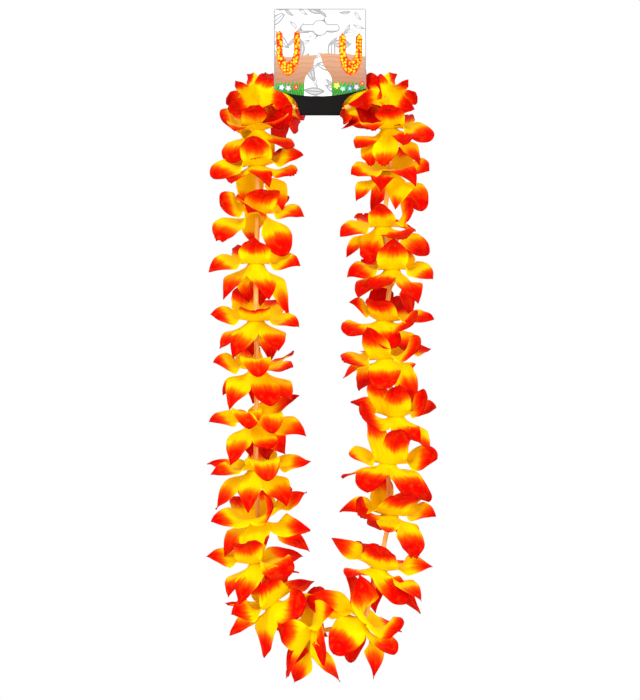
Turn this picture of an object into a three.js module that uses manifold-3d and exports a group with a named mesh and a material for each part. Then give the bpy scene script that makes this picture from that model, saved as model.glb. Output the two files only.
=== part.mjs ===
// Artificial flower lei on a hanging header card.
// Twenty-seven two-layer fabric flowers and twenty-eight short plastic tubes are strung
// on one knotted thread. The thread passes through a sleeve that is folded and glued
// from the lower tab of a cardboard header, and the header hangs by its euro slot.
// Millimetres, +Z up, X to the right, the face of the card looks along -Y.
// The origin is on the axis of the euro slot, in the plane of the thread; the card's panel
// lies just in front of that plane, because its folded sleeve is centred on the thread.
import * as THREE from 'three';
import Module from 'manifold-3d';
import * as BGU from 'three/addons/utils/BufferGeometryUtils.js';

const wasm = await Module();
wasm.setup();

// ---- driving dimensions (mm) ----
const CARD_HALF = 39;            // half width of the header card
const CARD_TOP = 16.2;           // top edge above the slot centre
const CARD_SHOULDER = -52.7;     // where the straight sides end
const CARD_FOLD = -74.4;         // bottom of the folded tab
const TAB_HALF = 17.2;           // half width of the tab at the fold
const CARD_T = 0.5;              // card thickness
const SLEEVE_IN = 1.4;           // half of the sleeve's inner gap
const CARD_Y = -(SLEEVE_IN + CARD_T); // front face of the card
const SLOT_W = 32;               // euro slot, overall width
const SLOT_H = 5;                // euro slot, height of its arms
const SLOT_R = 6.1;              // euro slot, radius of the round middle
const THREAD_R = 0.5;            // stringing thread
const SLEEVE_Z = -68.9;          // height of the thread inside the sleeve
const TUBE_RO = 2.0, TUBE_RI = 1.5;   // spacer tube, outer and inner radius
const HUB_R = 8.8, HUB_HOLE = 1.6, HUB_HALF = 1.3; // pressed centre of a flower
const PETAL_T = 0.6;             // petal thickness
const GAP = 0.3;                 // clearance between separate pieces

// Flowers along the thread, from the left end of the sleeve round to the right end:
// [hub centre, axis pointing up its strand].
const FLOWERS = [
  [[-30.6,0,-64.6],[0.459,-0.887,-0.051]],
  [[-52.7,0,-58.6],[-0.204,-0.967,-0.153]],
  [[-54.4,0,-86.7],[0.014,0,1]],
  [[-53.5,0,-117.3],[-0.024,0,1]],
  [[-52.7,0,-158.1],[0.01,0,1]],
  [[-54.4,0,-200.6],[0.019,0,1]],
  [[-54.4,0,-249],[-0.009,0,1]],
  [[-53.5,0,-290.7],[0,0,1]],
  [[-54.4,0,-336.6],[0.01,0,1]],
  [[-54.4,0,-375.7],[-0.021,0,1]],
  [[-52.7,0,-418.2],[-0.011,0,1]],
  [[-53.5,0,-454.8],[-0.163,0,0.987]],
  [[-40.8,0,-490.4],[-0.574,0,0.819]],
  [[-7.6,0,-513.4],[-0.985,0,0.174]],
  [[36.5,0,-504.9],[0.669,0,0.743]],
  [[50.1,0,-459.8],[0.245,0,0.97]],
  [[59.5,0,-413.9],[0.085,0,0.996]],
  [[57.8,0,-370.6],[0.061,0,0.998]],
  [[64.6,0,-330.6],[-0.029,0,1]],
  [[55.2,0,-281.3],[-0.114,0,0.993]],
  [[55.2,0,-249],[0.078,0,0.997]],
  [[61.2,0,-205.7],[-0.021,0,1]],
  [[53.5,0,-169.2],[-0.02,0,1]],
  [[59.5,0,-122.4],[0.061,0,0.998]],
  [[58.6,0,-85.8],[-0.06,0,0.998]],
  [[55.7,0,-58.6],[0.204,-0.967,-0.153]],
  [[32.3,0,-64.6],[-0.459,-0.887,-0.051]],
];

// Petals: [flower, layer (0 upper, 1 lower), centre line as four Bezier points x,y,z,
// normal of the outer half x,y,z, greatest width, tip (0 pointed 1 round 2 ragged 3 notched), start of the red].
const PETALS = [
  [0,0,-35.1,-3.1,-60.2,-39.9,-3.2,-48.1,-32.3,21.7,-40.4,-27.2,44,-34,0.89,-0.33,0.31,22,1,0.2],
  [0,0,-27.9,0.4,-58.1,-21.4,6.4,-48.6,-15,21,-51,-11.9,37.1,-52.7,0.93,-0.36,-0.08,21.6,0,0.2],
  [0,0,-29,0.7,-71.4,-23.9,6.7,-81.7,-19.3,25.7,-79.4,-17,44,-77.3,0.97,-0.22,-0.07,21.6,0,0.05],
  [0,0,-35.7,-3,-68.4,-42.3,-2.7,-79.6,-34.9,19.2,-85,-29.8,38.7,-89.2,0.86,-0.34,-0.37,24.2,1,0.05],
  [0,0,-24.2,2.8,-65.1,-17.5,13.9,-65.7,-34.5,29.6,-64.2,-49.3,44,-62.9,-0.76,-0.65,0.02,21.6,1,0.3],
  [0,1,-35.2,-2.1,-59.8,-42.1,5.1,-51.4,-41.3,25.3,-43.3,-41.6,44,-36.5,0.78,-0.22,0.58,28.6,0,0.05],
  [0,1,-28,1.5,-58.3,-25.4,10.8,-49.5,-18.3,24.8,-44.9,-14.4,40.1,-40.8,0.88,-0.42,0.21,21.6,1,0.2],
  [0,1,-24.7,3.7,-65.5,-19.7,15.6,-66.2,-15.2,29.9,-66.3,-12.8,44,-66.3,0.96,-0.27,-0.09,21.6,1,0.2],
  [0,1,-29.9,1.3,-71.5,-31.9,11.8,-78.9,-32,26.7,-83.8,-34.9,44,-87.5,0.58,-0.2,-0.79,27.8,0,0.05],
  [0,1,-36.4,-2.2,-67.9,-44.9,6,-73.2,-45.1,19.6,-76.6,-47.6,35.3,-79,0.26,-0.19,-0.95,26.7,0,0.15],
  [1,0,-50.7,-2,-52.2,-46.1,0.9,-40.4,-43.3,16.3,-38.9,-40.8,30.3,-37.4,0.26,-0.29,0.92,14,0,0.06],
  [1,0,-58.3,0,-54.5,-63.6,-11.8,-53.2,-68.2,-28,-50,-71,-37,-46.8,0.18,-0.27,-0.95,11.6,0,0.34],
  [1,0,-58.4,1.3,-62.6,-64.4,-9.7,-66.2,-72.4,-25.7,-69.1,-77.8,-32.7,-70.5,0.86,-0.5,0.06,13.5,1,0.2],
  [1,0,-50.7,0.1,-65.4,-51.4,-11.7,-70.8,-53.2,-29,-72.1,-53.5,-37.7,-72.2,-0.36,-0.08,0.93,26.7,0,0.18],
  [1,0,-45.9,-1.9,-59,-36.7,-10.8,-61.1,-29.9,-16.4,-64.2,-23.8,-18.3,-66.3,-0.58,-0.81,-0.04,17.3,0,0.16],
  [1,1,-55.6,0.1,-52.3,-57.7,10.4,-44.6,-60,23,-40.9,-61.2,36.5,-37.4,-0.89,-0.26,0.38,15.5,0,0.42],
  [1,1,-59.4,2,-59.3,-72,-1,-60.1,-77.3,-15.8,-60.8,-80.3,-22,-60.4,0.8,-0.45,-0.39,13.5,1,0.28],
  [1,1,-53.8,1.8,-65.3,-57.9,-0.1,-77.5,-62.3,-9.2,-81.4,-65.5,-14.5,-84.1,0.36,-0.68,0.64,13.5,0,0.12],
  [1,1,-46.6,-0.2,-62,-36.2,-4.7,-68.6,-30.1,-22.4,-76,-24.6,-34.4,-81.6,-0.77,-0.54,0.34,28.5,1,0.1],
  [1,1,-47.7,-1.3,-53.9,-42.1,9.5,-49.4,-40.3,24,-48.6,-38.2,38.5,-47.6,0.76,-0.2,0.61,13.7,1,0.12],
  [2,0,-55.1,-7,-86.2,-55.8,-18.1,-79.5,-55.5,-32.3,-71.4,-55.2,-44,-69.7,0.01,0.4,0.92,21.6,2,0.34],
  [2,0,-61.2,-1.5,-86.1,-72.5,-6.3,-81.9,-78,-14.9,-79.1,-82.5,-21.9,-80.8,0.68,-0.44,0.59,26.9,1,0.5],
  [2,0,-49.7,5.2,-86.3,-43.4,15.9,-82.4,-43.8,31.4,-77.7,-44.2,44,-79,0.01,-0.17,0.99,21.6,2,0.71],
  [2,0,-48,-2.8,-86.3,-38.4,-11.3,-80.6,-38.3,-29.3,-77.3,-38.2,-44,-85,-0.27,-0.04,0.96,27.6,2,0.62],
  [2,0,-57.9,6.1,-86.1,-62.7,15.7,-78.9,-68.2,31.3,-69.7,-72.8,44,-66.1,0.05,-0.43,0.9,24.1,0,0.42],
  [2,1,-59.1,-5.2,-87.1,-66.3,-15.9,-84.6,-69,-29.7,-80.7,-71.4,-41,-91,0.12,-0.14,0.98,26.2,0,0.59],
  [2,1,-60.8,2.8,-87.1,-68.8,3.6,-97.3,-72.1,-1.1,-105.6,-74.8,-5,-114.8,-0.5,-0.71,0.5,28.4,1,0.41],
  [2,1,-50.9,-6.1,-87.3,-50.3,-13.4,-98,-55.3,-14,-103.6,-59.5,-14.6,-112.2,-0.4,-0.83,0.39,27.5,2,0.65],
  [2,1,-47.6,1.5,-87.3,-36,-0.8,-92.8,-31.6,-16.3,-97.6,-28.1,-28.9,-105.4,0.17,-0.37,0.91,22.7,1,0.38],
  [2,1,-53.7,7,-87.2,-51.8,18.3,-93.4,-46.6,32.4,-101.1,-42.5,44,-112.2,0.19,0.51,0.84,23,0,0.53],
  [3,0,-53.8,-7,-116.8,-54.4,-17.1,-108.7,-55.3,-31.9,-99.7,-56.1,-44,-93.5,0,0.51,0.86,27.3,0,0.34],
  [3,0,-60.3,-1.9,-117,-72.3,-6.9,-117.2,-81.7,-15.3,-122,-89.2,-22.2,-130,-0.02,-0.57,0.82,26.7,1,0.47],
  [3,0,-47,-2.4,-116.6,-35.7,-7.4,-112.6,-23.6,-15.4,-108,-13.6,-22,-110.5,-0.49,-0.61,0.63,25.8,0,0.5],
  [3,0,-57.5,5.8,-116.9,-63.5,14.4,-109.2,-70,23.8,-101.9,-75.2,31.5,-98.5,0.24,-0.43,0.87,25.2,1,0.46],
  [3,0,-49.3,5.5,-116.7,-42.2,13.7,-109.4,-35.1,19.2,-104.3,-29.2,23.7,-102,-0.35,-0.29,0.89,26.5,2,0.48],
  [3,1,-60.4,-1.5,-118,-70.5,-7.4,-123.6,-72.4,-21.6,-127.2,-74,-33.1,-135.2,-0.13,-0.39,0.91,21.6,0,0.44],
  [3,1,-47.1,-2.8,-117.6,-36.3,-8.8,-121.5,-29,-16.1,-121.8,-22.9,-22,-127.5,-0.04,-0.43,0.9,27.8,2,0.53],
  [3,1,-54.3,-7,-117.8,-53.6,-18.6,-121.3,-47.3,-29.8,-125.7,-42.1,-39,-136.8,0.19,-0.46,0.87,21.6,0,0.26],
  [3,1,-48.9,5.2,-117.7,-41.7,8.3,-128.1,-36.1,2.7,-140.6,-31.4,-1.9,-154.7,0.59,-0.66,0.46,28.2,0,0.62],
  [3,1,-57,6.1,-117.9,-59.8,12.9,-128.6,-59.7,16.6,-136.8,-59.5,19.6,-148.8,-0.14,0.92,0.37,23.5,1,0.65],
  [4,0,-52.5,-7,-157.6,-51.1,-17.9,-150.6,-46.3,-30.5,-141.3,-42.5,-40.8,-139.4,-0.14,0.44,0.89,28.6,2,0.34],
  [4,0,-59.3,-2.4,-157.5,-70.1,-7.8,-152.7,-77.8,-15.6,-150,-84.1,-22,-150.4,0.64,-0.58,0.5,27.9,1,0.47],
  [4,0,-46,-1.9,-157.7,-33.9,-6.6,-156.4,-22.7,-14.9,-156.5,-13.6,-21.6,-162.3,-0.17,-0.48,0.86,28.4,0,0.47],
  [4,0,-57,5.5,-157.6,-62.2,15.4,-150.9,-62.5,31.1,-141.5,-62.9,44,-139.4,0.05,-0.41,0.91,21.6,1,0.47],
  [4,0,-48.8,5.8,-157.6,-42.7,14.7,-150.4,-36.1,24.4,-144.5,-30.7,32.4,-141.1,-0.03,-0.49,0.87,23.4,1,0.46],
  [4,1,-53.4,-7,-158.6,-55.1,-19.8,-155.1,-57.9,-33.1,-150.2,-60.4,-44,-158.9,0.49,-0.12,0.86,26.4,0,0.23],
  [4,1,-59.6,-1.5,-158.5,-70.1,-5.3,-165.1,-79,-13.6,-171.4,-86.3,-20.3,-181,-0.18,-0.61,0.77,28.5,3,0.53],
  [4,1,-56.2,6.1,-158.6,-60.4,16.5,-165.1,-59.9,29,-170.1,-59.5,39.1,-180.2,-0,0.53,0.85,21.6,0,0.65],
  [4,1,-46.3,-2.8,-158.7,-39.4,-6.2,-169.1,-35,-8.8,-179.8,-31.4,-10.9,-194.7,0.41,-0.85,0.33,28,1,0.44],
  [4,1,-48,5.2,-158.6,-41,12.4,-166.9,-35.1,16.6,-173.7,-30.3,20.1,-183.6,0.67,0.34,0.66,26.3,1,0.46],
  [5,0,-54.6,-7,-200.1,-54.9,-17.6,-192.6,-55.6,-30.8,-185.1,-56.1,-41.6,-180.2,0.04,0.48,0.88,27.3,0,0.34],
  [5,0,-58.3,5.8,-200,-63.7,15.4,-193.1,-67.9,28.7,-186.7,-71.4,39.6,-183.6,0.15,-0.36,0.92,21.6,0,0.29],
  [5,0,-61.1,-1.9,-200,-73.1,-6.7,-198.4,-84.5,-15.1,-201.2,-93.9,-22,-207,0.1,-0.52,0.85,28.1,0,0.47],
  [5,0,-47.8,-2.4,-200.2,-36,-7.7,-198.8,-25.3,-15.6,-200.4,-16.6,-22,-203.2,-0.24,-0.53,0.82,27.4,0,0.47],
  [5,0,-50.1,5.5,-200.2,-43.9,13.7,-192.2,-37.1,24.5,-183.3,-31.5,33.3,-179.4,-0.33,-0.4,0.85,27,1,0.44],
  [5,1,-60.6,-3.3,-201,-68.7,-8.2,-209.9,-75.5,-14.3,-219.7,-81.2,-19.2,-231.2,-0.58,-0.5,0.64,28,0,0.38],
  [5,1,-53.2,-6.9,-201.1,-50.8,-16.1,-210,-46.2,-24.1,-218.8,-42.5,-30.7,-231.2,0.37,-0.67,0.65,27.3,0,0.44],
  [5,1,-47.5,-1,-201.2,-40,-1.1,-211.9,-32.5,1.5,-226.6,-26.3,3.7,-244.8,0.72,-0.66,0.24,24.9,0,0.56],
  [5,1,-51.3,6.3,-201.2,-49.5,12.2,-212.6,-50.3,15.1,-223.7,-51,17.4,-236.3,-0.03,0.96,0.26,21.6,0,0.29],
  [5,1,-59.4,4.9,-201,-63.9,11.9,-211,-62.4,17.8,-221.1,-61.2,22.6,-232.9,0.11,0.88,0.47,21.6,0,0.53],
  [6,0,-58.3,5.8,-248.6,-62.6,13.9,-239.3,-65.1,27.1,-227.7,-67.1,37.9,-219.3,0.13,-0.64,0.76,24.6,1,0.47],
  [6,0,-54.6,-7,-248.6,-55,-19.4,-241.1,-54.7,-32.9,-236.1,-54.4,-44,-242.2,-0.01,0.11,0.99,26.4,1,0.34],
  [6,0,-61.1,-1.9,-248.6,-72.9,-6.6,-245.5,-84,-15.1,-244.5,-93.1,-22,-244.8,0.43,-0.53,0.73,25.4,0,0.47],
  [6,0,-47.8,-2.4,-248.5,-36.1,-7.9,-247,-26.1,-16.2,-249.4,-17.9,-22.9,-255.8,-0.01,-0.42,0.91,28,0,0.47],
  [6,0,-50.1,5.5,-248.5,-44.4,14.9,-241.5,-41,28.2,-233.4,-38.2,39.2,-231.2,-0.13,-0.4,0.91,26.2,1,0.59],
  [6,1,-61.4,-0,-249.6,-71.8,-2.8,-256.9,-78.4,-13.2,-264,-83.7,-21.8,-273.7,-0.38,-0.46,0.8,21.6,0,0.41],
  [6,1,-56.6,-6.7,-249.6,-60.8,-14.7,-258.9,-67.6,-18.5,-268.5,-73.1,-21.6,-281.3,-0.49,-0.68,0.54,28.2,0,0.41],
  [6,1,-48.7,-4.1,-249.5,-41.1,-11.8,-256.7,-37.7,-22.7,-265,-34.9,-31.6,-274.6,0.23,-0.59,0.77,26.2,0,0.41],
  [6,1,-56.6,6.7,-249.6,-58.4,14.5,-259.8,-58.1,19.1,-267.6,-57.8,22.9,-278.8,-0.03,0.89,0.46,21.6,0,0.23],
  [6,1,-48.7,4.1,-249.5,-43.4,10.1,-259.7,-42.9,17,-270,-42.5,22.6,-283.9,0.15,0.86,0.48,21.6,0,0.47],
  [7,0,-54.8,-6.9,-290.2,-55.6,-17.1,-275.4,-53.5,-31.8,-277.1,-51.9,-36.5,-296.6,0.06,-0.46,0.89,26.3,1,0.6],
  [7,0,-56.6,6.3,-290.2,-60.3,16.1,-282.5,-62.2,31.4,-270.9,-63.8,44,-267.8,0.08,-0.5,0.86,21.6,1,0.41],
  [7,0,-60.5,-1,-290.2,-72.4,-4.7,-286.6,-82.4,-14.2,-283.6,-90.5,-22,-284.8,0.52,-0.49,0.7,26.3,0,0.53],
  [7,0,-47.4,-3.3,-290.2,-37.1,-11,-288.2,-29.8,-24.2,-288.1,-23.8,-35.1,-289.8,-0.3,-0.21,0.93,24.6,0,0.35],
  [7,0,-48.5,4.9,-290.2,-40.2,12.9,-284.3,-31.3,21.5,-279.8,-24.1,28.4,-278.2,-0.37,-0.05,0.93,24.7,1,0.45],
  [7,1,-46.5,0,-291.2,-36.6,-2.4,-299.2,-30,-10.9,-306,-24.6,-17.9,-317.9,0.41,-0.54,0.74,27.2,0,0.47],
  [7,1,-59.2,4.1,-291.2,-68.3,11.4,-297,-76.8,20.4,-303.7,-83.7,27.8,-311.9,-0.37,0.38,0.85,22.6,0,0.41],
  [7,1,-59.2,-4.1,-291.2,-66.1,-8.6,-301.3,-72.3,-11.1,-311.8,-77.3,-13.2,-323.8,-0.49,-0.75,0.44,27.8,0,0.47],
  [7,1,-51.4,-6.7,-291.2,-48.3,-15.8,-299.9,-45.1,-24.8,-310.3,-42.5,-32.1,-321.3,0.25,-0.71,0.65,25.7,1,0.35],
  [7,1,-51.4,6.7,-291.2,-50.2,16.4,-299.7,-54.4,25.8,-307.7,-57.8,33.6,-319.6,-0.23,0.67,0.7,21.6,0,0.23],
  [8,0,-59.4,-4.9,-336,-64.4,-13.7,-321.2,-61.6,-30,-319.4,-59.5,-36.1,-340,0.05,-0.34,0.94,26.7,1,0.6],
  [8,0,-51.3,-6.3,-336.1,-46.9,-15.6,-322.3,-43.4,-28.8,-323.9,-40.8,-32.4,-344.2,0.16,-0.49,0.86,28.1,1,0.64],
  [8,0,-47.5,1,-336.2,-34.5,0.2,-336.1,-22.1,-8.7,-340.6,-11.9,-15.9,-345.9,-0.07,-0.59,0.8,28.6,0,0.47],
  [8,0,-53.2,6.9,-336.1,-46.7,15,-328.3,-30.3,6.7,-316.8,-17,0,-313.6,-0.56,-0.57,0.61,26.1,0,0.47],
  [8,0,-60.6,3.3,-336,-73.2,5.2,-333.8,-84.6,-6.1,-331.3,-93.9,-15.4,-334.9,0.34,-0.41,0.85,26.2,0,0.47],
  [8,1,-60.1,-4.1,-337,-66.5,-9.2,-347.1,-71.1,-13.9,-358.2,-74.8,-17.8,-371.4,-0.5,-0.72,0.47,27.7,0,0.41],
  [8,1,-52.2,6.7,-337.1,-49.4,13.2,-348,-47,15.2,-358.1,-45,16.9,-368.9,0.64,0.7,0.32,27,0,0.29],
  [8,1,-60.1,4.1,-337,-65.4,11.6,-346.2,-62.1,19.2,-353.8,-59.5,25.4,-365.5,0.2,0.76,0.61,21.6,0,0.23],
  [8,1,-47.4,0,-337.2,-38.2,1.8,-346.2,-33.6,7.1,-353.5,-29.8,11.4,-362.9,0.77,-0.62,0.14,25.6,0,0.35],
  [8,1,-52.2,-6.7,-337.1,-48.8,-15.5,-346,-45.8,-19.6,-350.5,-43.4,-23,-358.8,0.25,-0.74,0.63,23,2,0.49],
  [9,0,-51.8,-6.5,-375.1,-48.7,-16.1,-360.8,-46.4,-29.9,-363.7,-44.2,-33.8,-384.2,0.11,-0.54,0.83,27.4,1,0.62],
  [9,0,-60.3,3.7,-375.3,-71.4,9.9,-372.2,-85.2,15.5,-370.7,-96.5,20,-371.4,-0.09,-0.37,0.93,24.2,0,0.47],
  [9,0,-59.8,-4.5,-375.3,-70.3,-12.1,-374.4,-82.4,-17.5,-374.4,-92.2,-22,-379.9,0.07,-0.44,0.89,25.7,0,0.44],
  [9,0,-47.4,0.5,-375.1,-35,0.3,-371.3,-20,-3.6,-369.3,-7.6,-6.8,-368.9,-0.22,-0.5,0.84,28.6,0,0.53],
  [9,0,-52.7,6.8,-375.2,-50.4,17.5,-368.2,-47.8,32.1,-359.6,-45.7,44,-355.9,-0.31,-0.38,0.87,26.1,2,0.42],
  [9,1,-61.4,-0.5,-376.3,-71.1,-0.9,-385,-81.1,-0.4,-397,-89.2,0,-408.8,-0.64,-0.59,0.5,24.8,0,0.47],
  [9,1,-56.1,-6.8,-376.2,-58.1,-15,-386.1,-59.8,-21.3,-398.1,-61.2,-26.4,-410.6,-0.27,-0.84,0.47,21.6,0,0.41],
  [9,1,-48.5,-3.7,-376.1,-40.4,-9.3,-384.7,-33.7,-15.9,-393.7,-28.1,-21.3,-405.4,0.22,-0.76,0.61,28.4,0,0.44],
  [9,1,-57,6.5,-376.3,-60.9,16.6,-383.4,-64.9,27,-389.8,-68,35.5,-401.2,-0.24,0.58,0.78,21.6,0,0.23],
  [9,1,-49,4.5,-376.1,-40.3,11.7,-382.4,-32.3,18.3,-388.3,-25.7,23.7,-396.2,0.54,0.21,0.81,24.4,2,0.46],
  [10,0,-51,-6.8,-417.7,-47.7,-18.2,-410.7,-42.1,-31.1,-403.7,-37.4,-41.6,-406.3,-0.93,-0.36,0.09,27.1,0,0.34],
  [10,0,-50.1,6.5,-417.7,-47.6,16.2,-409.4,-48.5,29.3,-401.2,-49.3,39.9,-396.1,0,-0.52,0.85,21.6,1,0.65],
  [10,0,-58.6,-3.7,-417.8,-69.7,-10.3,-416,-81.9,-16.7,-414.7,-91.8,-22,-419.1,0.28,-0.6,0.75,27.1,0,0.47],
  [10,0,-45.7,-0.5,-417.6,-35.8,-0.9,-409.3,-22.4,-0.4,-398,-11.5,0,-394,-0.47,-0.53,0.7,27.3,0,0.47],
  [10,0,-58.1,4.5,-417.8,-65.3,12.3,-410.2,-70.5,24.8,-401.8,-74.8,35,-398.6,0.19,-0.43,0.88,21.9,0,0.41],
  [10,1,-47,-4.1,-418.6,-35.3,-8.7,-421.7,-20.6,-3.9,-423.6,-8.5,0,-427.6,0.3,-0.71,0.64,26.8,0,0.47],
  [10,1,-47,4.1,-418.6,-36.7,8.2,-425.4,-21.7,3.7,-433.8,-9.4,0,-446.2,0.35,-0.65,0.67,26.4,0,0.44],
  [10,1,-59.7,-0,-418.8,-68.6,-0.6,-428.2,-75.8,-2.7,-436.6,-81.6,-4.3,-448.8,-0.58,-0.63,0.52,27.6,0,0.41],
  [10,1,-54.9,-6.7,-418.7,-56.8,-13,-429.9,-57.4,-15,-436.4,-57.8,-16.7,-447.1,-0.3,-0.91,0.3,22.5,1,0.62],
  [10,1,-54.9,6.7,-418.7,-56.2,17.3,-426,-51.5,29.9,-433.8,-47.6,40.3,-445.4,0.16,0.58,0.8,21.6,0,0.41],
  [11,0,-56.2,-6.5,-454.7,-60.3,-16.7,-447.7,-61.8,-31.7,-437,-62,-44,-434.3,-0.13,0.48,0.87,25.2,1,0.34],
  [11,0,-60.5,0.5,-455.4,-73,-0.6,-452,-86.3,-7.9,-448.7,-96.5,-13.9,-449.6,0.38,-0.55,0.74,25.3,0,0.47],
  [11,0,-48.3,-4.5,-453.4,-39.9,-14.2,-451.6,-33,-30.2,-458.2,-27.2,-43.2,-464.9,-0.38,-0.48,0.79,28.3,1,0.34],
  [11,0,-47.8,3.7,-453.3,-37.4,10.5,-449.3,-25.2,18.3,-447.3,-14.5,24.7,-450.5,0.27,-0.48,0.84,25.8,0,0.29],
  [11,0,-55.3,6.8,-454.5,-59.1,14.3,-444.6,-63.3,20.9,-434.5,-65.8,26.3,-431.8,-0.03,-0.77,0.64,24.4,0,0.48],
  [11,1,-60.4,-0,-456.4,-69.8,-3,-464.8,-74.5,-13.5,-471.1,-77.3,-22,-481.9,-0.46,-0.47,0.75,21.6,0,0.41],
  [11,1,-55.6,-6.7,-455.6,-58.4,-15,-465.2,-64.1,-20.3,-475.5,-68,-24.7,-488.8,-0.53,-0.66,0.54,28.2,0,0.41],
  [11,1,-55.6,6.7,-455.6,-55.8,17.3,-463,-49.8,28.3,-470.8,-44.2,37.3,-481.1,0.08,0.62,0.78,21.7,0,0.23],
  [11,1,-47.9,4.1,-454.3,-39.2,12,-460,-34.5,24.2,-467,-29.8,34.2,-477.7,0.08,0.58,0.81,21.6,0,0.35],
  [11,1,-47.9,-4.1,-454.3,-37,-10.1,-458,-27.7,-12.3,-458.3,-19.2,-14.1,-464.3,0.31,0.04,0.95,25.5,0,0.53],
  [12,0,-45.2,-4.9,-492.9,-56,-12.1,-492.5,-67.7,-17.5,-493.2,-74.8,-22,-497.2,0.32,-0.77,0.55,27.7,0,0.44],
  [12,0,-38.6,-6.3,-488.3,-41.1,-14.2,-478.3,-43.2,-22.2,-469.9,-44.2,-28.7,-464.1,-0.63,0.63,0.46,24.8,2,0.34],
  [12,0,-40.1,6.9,-489.3,-44.9,16.8,-482.4,-53.9,26.2,-478.5,-59.5,33.9,-477.7,-0.28,-0.52,0.8,21.6,0,0.53],
  [12,0,-35.4,1,-486.1,-26.1,4.5,-477.8,-15.6,13.6,-472.5,-5.1,21,-470.9,-0.06,-0.44,0.89,25.3,0,0.35],
  [12,0,-46.1,3.3,-493.6,-58.1,7.9,-491.4,-70.8,13,-490.2,-79.6,17.2,-491.5,0.01,-0.07,1,24.6,2,0.52],
  [12,1,-45.8,2.8,-494.5,-55,5,-503.4,-68.7,-2.6,-507.4,-76.9,-8.8,-515.1,-0.25,-0.45,0.86,25.4,0,0.41],
  [12,1,-44.4,-5.2,-493.5,-45.5,-9.4,-505.8,-46.6,-4.2,-520.1,-45.5,0,-534.6,-0.77,-0.62,-0.13,27.2,0,0.44],
  [12,1,-37.6,-6.1,-488.9,-27.9,-14.6,-489.9,-20.4,-15.9,-488.3,-11.9,-17.1,-490.4,-0.28,-0.96,0.06,28.6,1,0.29],
  [12,1,-39.9,7,-490.4,-34.3,14.8,-499.2,-31.4,19,-507.9,-25.5,22.4,-520.2,-0.56,0.82,0.12,21.6,0,0.47],
  [12,1,-34.9,1.5,-486.9,-22.4,4.7,-485.9,-10.3,10.7,-485.8,0.9,15.5,-487.5,-0.12,0.34,0.93,25,1,0.48],
  [13,0,-8.6,-6.5,-515.9,-17.8,-15.7,-516.3,-30.4,-31.3,-511.1,-36.5,-44,-507.4,-0.8,0.59,0.05,27,0,0.38],
  [13,0,-7.2,-4.5,-508,-6,-14,-499.3,2.4,-27.8,-494.6,11.9,-39.1,-491.3,-0.86,-0.49,0.14,28.5,0,0.62],
  [13,0,-7.1,3.7,-507.5,-7.9,11.6,-497.2,-6.9,27.5,-486.2,-3.4,40.4,-477.7,-0.57,-0.44,0.69,26.1,1,0.47],
  [13,0,-9.4,0.5,-520.2,-17.5,-0.7,-530.3,-25,-8.4,-541,-29.2,-14.8,-550.2,-0.88,0.25,0.41,24,2,0.43],
  [13,0,-8.4,6.8,-515,-17.5,16.1,-515.8,-25.8,25.9,-516.9,-31.2,33.9,-518.1,-0.71,-0.52,0.48,25.2,0,0.52],
  [13,1,-8.3,1.5,-520.2,-10.3,5.2,-532.5,-18.8,14,-546.5,-22.9,21.2,-558.4,-0.67,-0.73,-0.11,27.1,0,0.5],
  [13,1,-7.3,7,-514.2,-10.3,17.5,-521.1,-22.8,8.9,-534.7,-28.9,1.9,-546.5,-0.53,-0.57,0.63,25.6,0,0.23],
  [13,1,-6.3,-5.2,-508.9,-0.6,-16.8,-507.5,0.2,-19.5,-524.9,4.2,-21.7,-539.8,-0.87,-0.5,-0.03,26,0,0.29],
  [13,1,-7.8,-6.1,-516.9,-1.6,-12.3,-526.5,6.7,-5.5,-541.8,17.8,0,-555,-0.61,-0.55,-0.57,27.2,0,0.53],
  [13,1,-6,2.8,-507.2,-0.4,12.4,-500.3,0,25.2,-510.7,6,35.7,-520.2,-0.96,0.28,0.01,28,0,0.23],
  [14,0,31.7,-1,-499.9,21.7,-2.2,-491.7,4.4,-1.5,-488.6,-10.6,-1,-487.1,0.1,-0.85,0.52,27.4,1,0.44],
  [14,0,34.6,6.3,-502.5,33.7,13.1,-491.4,29.2,5.9,-471.5,21.2,0,-459.8,0.85,-0.5,0.14,28.1,0,0.5],
  [14,0,36,-6.9,-503.7,39.1,-14.8,-493.9,36.8,-18.5,-475.9,33.1,-21.6,-463.2,0.43,-0.88,-0.19,28.5,0,0.34],
  [14,0,41.5,-3.3,-508.7,53.1,-9.1,-509.4,63.1,-16.2,-508.7,68,-22,-511.7,-0.36,-0.57,0.74,27.3,1,0.44],
  [14,0,40.6,4.9,-507.9,51,12.7,-508.5,62.4,21,-508.6,68.1,27.7,-512.8,0.37,-0.25,0.9,25,1,0.46],
  [14,1,39.4,-5.5,-508.2,45.8,-14.4,-515.2,56.4,-18.6,-522.2,62,-22,-531.2,0.44,-0.49,0.75,27.5,1,0.44],
  [14,1,41.1,2.4,-509.7,43.4,4.5,-522.3,46.6,2,-537.1,45.5,0,-553.4,0.75,-0.64,0.14,27,0,0.44],
  [14,1,33.3,-5.8,-502.7,24.5,-13.3,-508.5,20.1,-19.9,-518.3,12.8,-25.2,-530.4,0.26,-0.88,0.39,28.6,1,0.44],
  [14,1,36,7,-505.1,31,15,-514.1,29.8,17.7,-526.1,24.6,19.9,-540.6,0.64,-0.68,-0.35,24.8,1,0.23],
  [14,1,31.2,1.9,-500.8,19.4,4.4,-495.9,8.9,4.3,-490.7,-1.3,4.2,-488.3,0.36,-0.16,0.92,25,1,0.51],
  [15,0,43.7,-1.9,-457.7,34,-3.8,-449.3,21,-1.7,-439.5,9.4,0,-435.2,0.37,-0.61,0.7,28.4,0,0.47],
  [15,0,50,-7,-459.3,51,-17.8,-452.1,50.4,-30.9,-444,49.3,-41.6,-439.4,0.3,0.46,0.84,28.6,1,0.34],
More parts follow.
